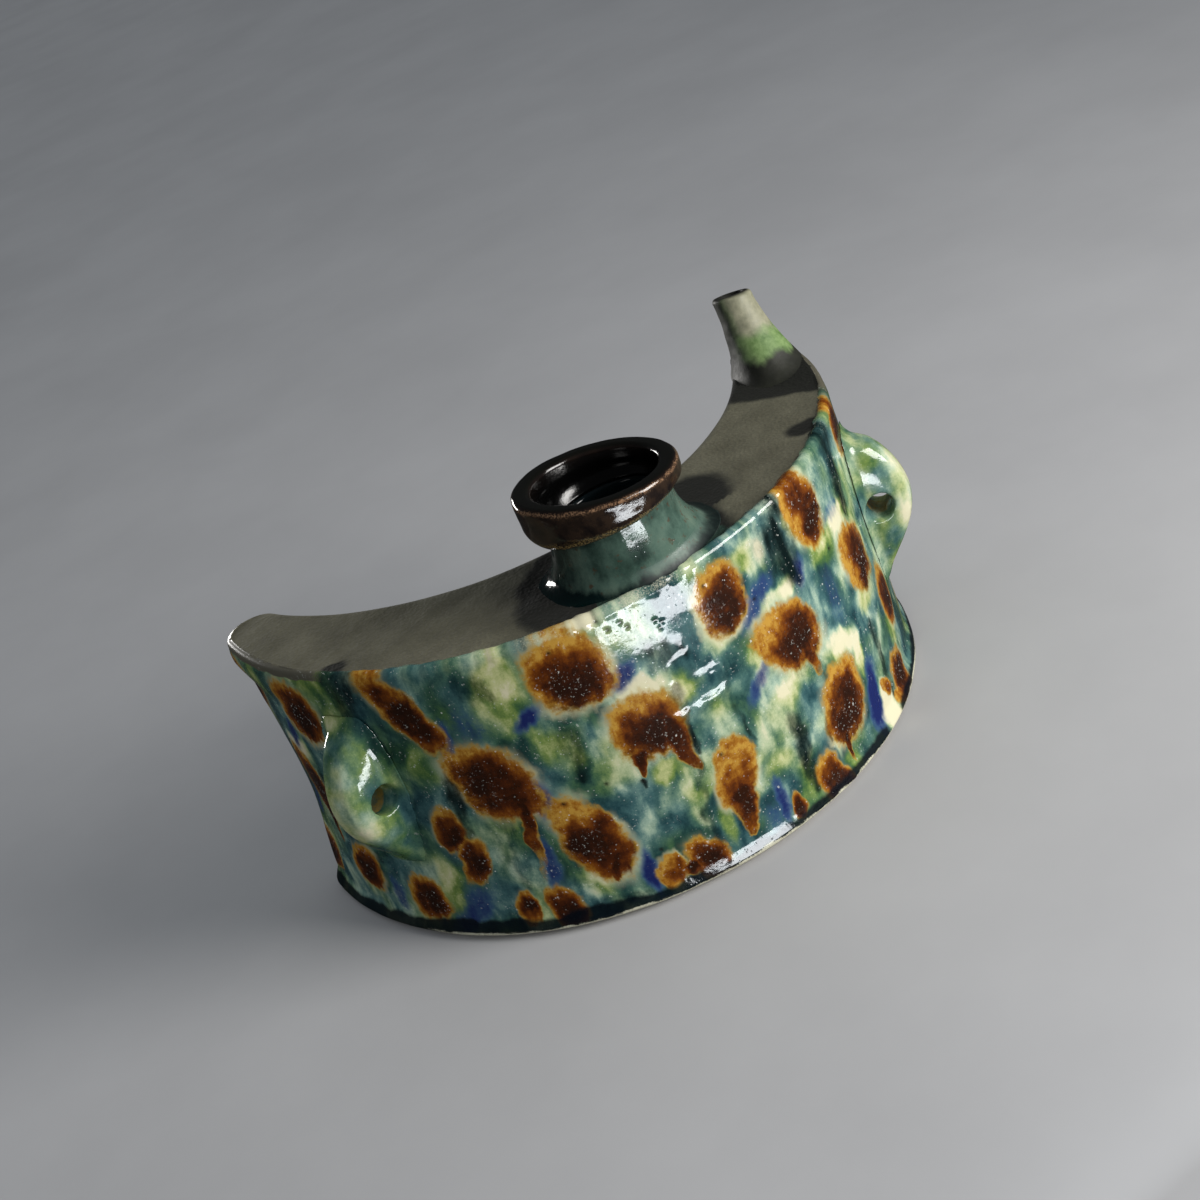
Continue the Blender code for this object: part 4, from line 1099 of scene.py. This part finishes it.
def glaze_material(name, fringe=1, teal=TEAL_STOPS, green=GREEN_STOPS, bubbles_and_glints=0.8, flecks=0, dull=0):
    """Running three-colour glaze.

    fringe is how ragged the marks' edges are, flecks are of rust, and dull makes the foot rougher.
    """
    m = Nodes(name)
    fine = m.noise(900, 4, 0.6)
    grit = m.noise(2200, 2, 0.6)
    streak = m.noise(600, 3, 0.55, (1.0, 1.0, 0.25))
    mottle = m.noise(380, 3, 0.6)
    specks = m.noise(2600, 2, 0.6)

    # Colours of the marks, from the ground up
    copper = m.grain("copper", (streak, 0.24), (fine, 0.26), (grit, 0.16))
    m.colour = m.mix(m.fit("hue", 0.1, 0.9), m.ramp(copper, teal), m.ramp(copper, green))
    if flecks:
        m.coat(m.fit(m.noise(420, 4, 0.65), 0.58, 0.7, 0.0, flecks), (0.075, 0.034, 0.016))
    iron = m.grain("iron", (streak, 0.1 * fringe), (fine, 0.13 * fringe))
    m.coat(m.times(m.fit(iron, 0.04, 0.28), "halo"), (0.6, 0.6, 0.38))
    cobalt = m.grain("cobalt", (streak, 0.3), (fine, 0.35))
    m.coat(m.fit(cobalt, 0.03, 1.05), m.ramp(cobalt, COBALT_STOPS))
    honey = m.times(m.fit(iron, 0.17, 0.31), m.fit(mottle, 0.35, 0.6, 0.35, 1.0))
    m.coat(honey, (0.4, 0.235, 0.035))
    # On the neck the deep layer also carries painted shade
    deep = m.grain("deep", (streak, 0.55), (fine, 0.3))
    m.coat(m.fit(deep, 0.05, 1.15), (0.001, 0.007, 0.007))
    rust = m.grain("rust", (mottle, 0.6), (fine, 0.4), (grit, 0.25), (streak, 0.45))
    m.coat(m.fit(iron, 0.26, 0.37), m.ramp(rust, IRON_STOPS))
    heart = m.grain("heart", (mottle, 0.6), (fine, 0.5), (grit, 0.3))
    m.coat(m.fit(heart, 0.15, 1.1, 0.0, 0.92), (0.018, 0.006, 0.003))
    m.coat("pit", (0.012, 0.009, 0.007))
    # The pool layer also paints the neck's bore near black, as painted shade
    pool = m.grain("pool", (fine, 0.3))
    m.coat(m.fit(pool, 0.2, 0.9, 0.0, 0.95), (0.001, 0.003, 0.006))
    broken = m.grain("broken", (specks, 1.2))
    m.coat(m.fit(broken, 0.3, 0.95), (0.56, 0.55, 0.42))
    dry = m.fit(m.grain("dry", (specks, 0.5)), 0.25, 0.65)
    m.coat(dry, (0.105, 0.098, 0.07))

    # Bubbles and froth as pale specks, which are partly painted glints; the dark pool at the foot has
    # none of them
    clear = m.fit(pool, 0.0, 0.6, 1.0, 0.0)
    crowd = m.times(m.fit(m.noise(110), 0.38, 0.7), m.fit(m.noise(700, 2), 0.35, 0.7))
    uneven = m.fit(m.noise(520, 2), 0.32, 0.68, 2, 0.6)
    large = m.fit(m.times(m.cells(430), uneven), 0.07, 0.13, bubbles_and_glints, 0.0)
    small = m.fit(m.times(m.cells(930), uneven), 0.12, 0.2, bubbles_and_glints, 0.0)
    bubble_and_glint = m.times(m.math("MAXIMUM", large, small), m.times(crowd, clear))
    froth_and_glint = m.plus(m.fit(m.noise(170, 2), 0.52, 0.72), m.fit("heart", 0.3, 1.0, 0.0, 0.6))
    froth_and_glint = m.times(froth_and_glint, m.fit(m.noise(1150, 3, 0.6), 0.6, 0.7, 0.0, bubbles_and_glints))
    bubble_and_glint = m.math("MAXIMUM", bubble_and_glint, m.times(m.times(froth_and_glint, clear), 0.7))
    m.coat(bubble_and_glint, (0.74, 0.77, 0.72))

    shine = m.fit(m.grain(fine, (specks, 0.5)), 0.2, 0.9, 0.05, 0.16)
    rough = m.plus(shine, m.times(m.math("MAXIMUM", dry, m.fit(broken, 0.3, 0.9)), 0.22))
    if dull:
        rough = m.plus(rough, m.times("foot", dull))
    pits = m.plus(m.fit(m.cells(700), 0.05, 0.2), m.times(m.noise(600, 2), 0.8))
    crystal = m.times(m.times("heart", m.noise(1300, 3, 0.6)), 4)
    m.bump(m.plus(pits, crystal), 0.1)
    return m.finish(rough)


def shoulder_material():
    """Matt olive grey clay, pitted like orange peel, with darker marks and a glossy run round the neck.
    """
    m = Nodes("shoulder_clay")
    peel = m.noise(1300, 3, 0.6)
    # Partly painted shade: the clay's colours are darker than the bare clay's, for the shade over the top
    m.colour = m.ramp(m.grain(m.noise(70, 4, 0.6), (peel, 0.5)), (
        (0.25, (0.075, 0.07, 0.043)),
        (0.55, (0.12, 0.113, 0.073)),
        (0.85, (0.175, 0.165, 0.112)),
    ))
    # Darker marks: the ring round the neck, dark smears, and painted shade round the spout's foot
    m.coat(m.fit(m.grain("stain", (peel, 0.25)), 0.05, 0.85, 0.0, 0.97), (0.006, 0.007, 0.005))
    cover = m.fit(m.grain("glazed", (m.noise(420), 0.5)), 0.35, 0.75)
    m.coat(cover, m.ramp(m.noise(160, 4, 0.6), (
        (0.3, (0.014, 0.024, 0.018)),
        (0.7, (0.04, 0.075, 0.058)),
    )))
    m.bump(m.plus(peel, m.cells(900)), 0.35)
    return m.finish(m.fit(cover, 0.0, 1.0, 0.78, 0.18))


def clay_material(name):
    """Bare fired stoneware."""
    m = Nodes(name)
    peel = m.noise(1100, 4, 0.6)
    m.colour = m.ramp(m.grain(m.noise(90, 4), (peel, 0.5)), (
        (0.25, (0.34, 0.28, 0.2)),
        (0.55, (0.46, 0.39, 0.28)),
        (0.85, (0.56, 0.49, 0.37)),
    ))
    m.bump(peel, 0.3)
    return m.finish(m.fit(peel, 0.2, 0.8, 0.7, 0.92))


def lip_material():
    """Black brown glaze that breaks to bronze on its edges, with painted shade inside the mouth."""
    m = Nodes("lip_glaze")
    fine = m.noise(1500, 3, 0.6)
    wide = m.noise(160, 4, 0.6)
    gold = m.noise(2600, 3, 0.65)
    m.colour = m.ramp(wide, ((0.35, (0.006, 0.004, 0.004)), (0.65, (0.013, 0.008, 0.006))))
    m.coat("top_band", (0.004, 0.004, 0.003))
    side = m.times("side", m.fit(m.noise(300, 4, 0.6), 0.35, 0.65))
    m.coat(m.times(side, 0.7), (0.034, 0.02, 0.012))
    rim = m.times("rim_line", m.fit(gold, 0.4, 0.64, 0.25, 1.0))
    m.coat(m.fit(rim, 0.1, 1.0), (0.26, 0.15, 0.085))
    low = m.times("low_line", m.fit(gold, 0.46, 0.6, 0.1, 1.0))
    m.coat(m.fit(low, 0.08, 0.85), (0.27, 0.185, 0.07))
    # Painted shade: the inside of the mouth is near black
    m.coat("inner", (0.001, 0.001, 0.001))
    m.bump(m.plus(fine, m.times(wide, 2)), 0.12)
    dull = m.plus(m.times("top_band", 0.08), m.times("inner", 0.04))
    return m.finish(m.plus(dull, m.fit(fine, 0.2, 0.8, 0.06, 0.14)))


def spout_material():
    """Satin cream glaze over a grass green band and an olive foot; painted shade darkens the left side
    and the foot.
    """
    m = Nodes("spout_glaze")
    fine = m.noise(900, 4, 0.6)
    cloudy = m.grain(m.noise(240, 4, 0.6), (fine, 0.4))
    grass = m.ramp(cloudy, ((0.3, (0.075, 0.15, 0.035)), (0.7, (0.21, 0.31, 0.115))))
    chalk = m.ramp(cloudy, ((0.3, (0.19, 0.19, 0.125)), (0.7, (0.32, 0.31, 0.21))))
    # Dark olive: the foot's own colour, with painted shade down the left side and on the foot
    m.colour = m.ramp(m.noise(150, 3), ((0.3, (0.012, 0.013, 0.009)), (0.7, (0.022, 0.023, 0.015))))
    m.coat(m.fit(m.grain("green", (fine, 0.25)), 0.1, 1.0), grass)
    m.coat(m.fit(m.grain("cream", (fine, 0.25)), 0.1, 1.0), chalk)
    # Painted shade inside the mouth
    m.coat(m.fit("inner", 0.3, 0.9), (0.012, 0.012, 0.008))
    m.bump(m.plus(fine, m.noise(260)), 0.15)
    return m.finish(m.fit(fine, 0.2, 0.8, 0.5, 0.66))


def floor_material():
    """Pale grey floor, which the glaze mirrors only dimly."""
    m = Nodes("floor")
    m.colour = m.ramp(m.noise(9, 5, 0.6), ((0.35, (0.46, 0.46, 0.47)), (0.65, (0.5, 0.5, 0.51))))
    m.coat(m.node("LightPath").outputs["Is Glossy Ray"], (DARK_ROOM, DARK_ROOM, DARK_ROOM))
    return m.finish(0.9)


# Putting the flask together

front_glaze = glaze_material("front_glaze")
back_glaze = glaze_material("back_glaze")
neck_glaze = glaze_material("neck_glaze", 0.6, NECK_STOPS, NECK_STOPS, bubbles_and_glints=0, flecks=0.75, dull=0.45)
lug_glaze = glaze_material("lug_glaze", 0.6, bubbles_and_glints=0.4)
coil_clay = clay_material("coil_clay")
bare_clay = clay_material("bare_clay")


def dress(piece, finish, node):
    piece.data.materials.append(finish)
    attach(piece, "root")
    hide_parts(node)


front_half = half_wall(FRONT, *FRONT_STEPS)
front = wall_piece("front_glazed", front_half, FRONT_ROWS, FRONT_MARKS, glazed_edge=True)
dress(front, front_glaze, "outer_wall")
back_half = half_wall(BACK, *BACK_STEPS)
back = wall_piece("back_glazed", back_half, BACK_ROWS, BACK_MARKS, glazed_edge=False)
dress(back, back_glaze, "inner_wall")
shoulder = shoulder_piece()
shoulder_layers(shoulder)
dress(shoulder, shoulder_material(), "top_slab")
dress(neck_piece(), neck_glaze, "neck")
dress(lip_piece(), lip_material(), "lip_ring")
dress(spout_piece(), spout_material(), "spout")
dress(lug_piece("lug_left_glazed", "lug_left", MIDDLE - LUG_TURN), lug_glaze, "lug_left")
dress(lug_piece("lug_right_glazed", "lug_right", MIDDLE + LUG_TURN), lug_glaze, "lug_right")

for node in ("base_slab", "base_seam_coil", "top_seam_coil", "left_end_coil", "right_end_coil"):
    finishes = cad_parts[node].data.materials
    finishes.clear()
    finishes.append(bare_clay if node == "base_slab" else coil_clay)

# Stage

floor_data = bpy.data.meshes.new("floor")
corners = [(x * HALF_FLOOR, y * HALF_FLOOR, 0) for x, y in ((-1, -1), (1, -1), (1, 1), (-1, 1))]
floor_data.from_pydata(corners, [], [(0, 1, 2, 3)])
floor_data.materials.append(floor_material())
floor = add_object("floor", floor_data)

world = bpy.data.worlds.new("studio")
bpy.context.scene.world = world
world.use_nodes = True
sky = world.node_tree.nodes["Background"]
sky.inputs["Color"].default_value = SKY
ray = world.node_tree.nodes.new("ShaderNodeLightPath")
level = world.node_tree.nodes.new("ShaderNodeMapRange")
level.inputs["To Min"].default_value = FILL
level.inputs["To Max"].default_value = DARK_ROOM
world.node_tree.links.new(ray.outputs["Is Glossy Ray"], level.inputs["Value"])
world.node_tree.links.new(level.outputs["Result"], sky.inputs["Strength"])


def lamp(name, azimuth, elevation, distance, width, height, watts, colour, target=(0.0, 0.02, 0.05)):
    """Soft rectangular lamp that looks at the flask. Azimuth 0 is in front, and 90 at its right."""
    data = bpy.data.lights.new(name, "AREA")
    data.shape = "RECTANGLE"
    data.size = width
    data.size_y = height
    data.energy = watts
    data.color = colour
    item = add_object(name, data)
    turn, rise = math.radians(azimuth), math.radians(elevation)
    away = np.array((math.sin(turn) * math.cos(rise), -math.cos(turn) * math.cos(rise), math.sin(rise)))
    side = np.array((math.cos(turn), math.sin(turn), 0.0))
    item.matrix_world = Matrix(np.vstack((
        np.column_stack((side, np.cross(away, side), away, np.array(target) + distance * away)),
        (0, 0, 0, 1),
    )).tolist())
    item.visible_camera = False
    return item


key = lamp("key", 45, 20, 0.9, 0.55, 0.4, 4.4, WARM)
key.data.spread = math.radians(115)
back_fill = lamp("back_fill", 197, 5, 1.0, 0.4, 0.14, 0.9, WARM)
back_fill.data.spread = math.radians(80)
# The lamp behind leaves the floor out, where it would show as a bright patch
floor_only = bpy.data.collections.new("floor_only")
floor_only.objects.link(floor)
floor_only.collection_objects[0].light_linking.link_state = "EXCLUDE"
back_fill.light_linking.receiver_collection = floor_only
# The strip shows only in reflections
strip = lamp("strip", 6, -11.5, 0.16, 0.12, 0.026, 0.18, COOL, target=(0.0, -0.02, 0.05))
strip.visible_diffuse = False

camera_data = bpy.data.cameras.new("camera")
camera_data.sensor_width = 36
camera_data.lens = 57.43
camera = add_object("camera", camera_data)
camera.matrix_world = Matrix((
    (0.83535048, 0.48423888, -0.26019662, -0.13373937),
    (-0.43985353, 0.30487983, -0.84473497, -0.39952118),
    (-0.32972481, 0.82009816, 0.46767569, 0.29852995),
    (0.0, 0.0, 0.0, 1.0),
))
bpy.context.scene.camera = camera
bpy.context.scene.view_settings.view_transform = "Standard"
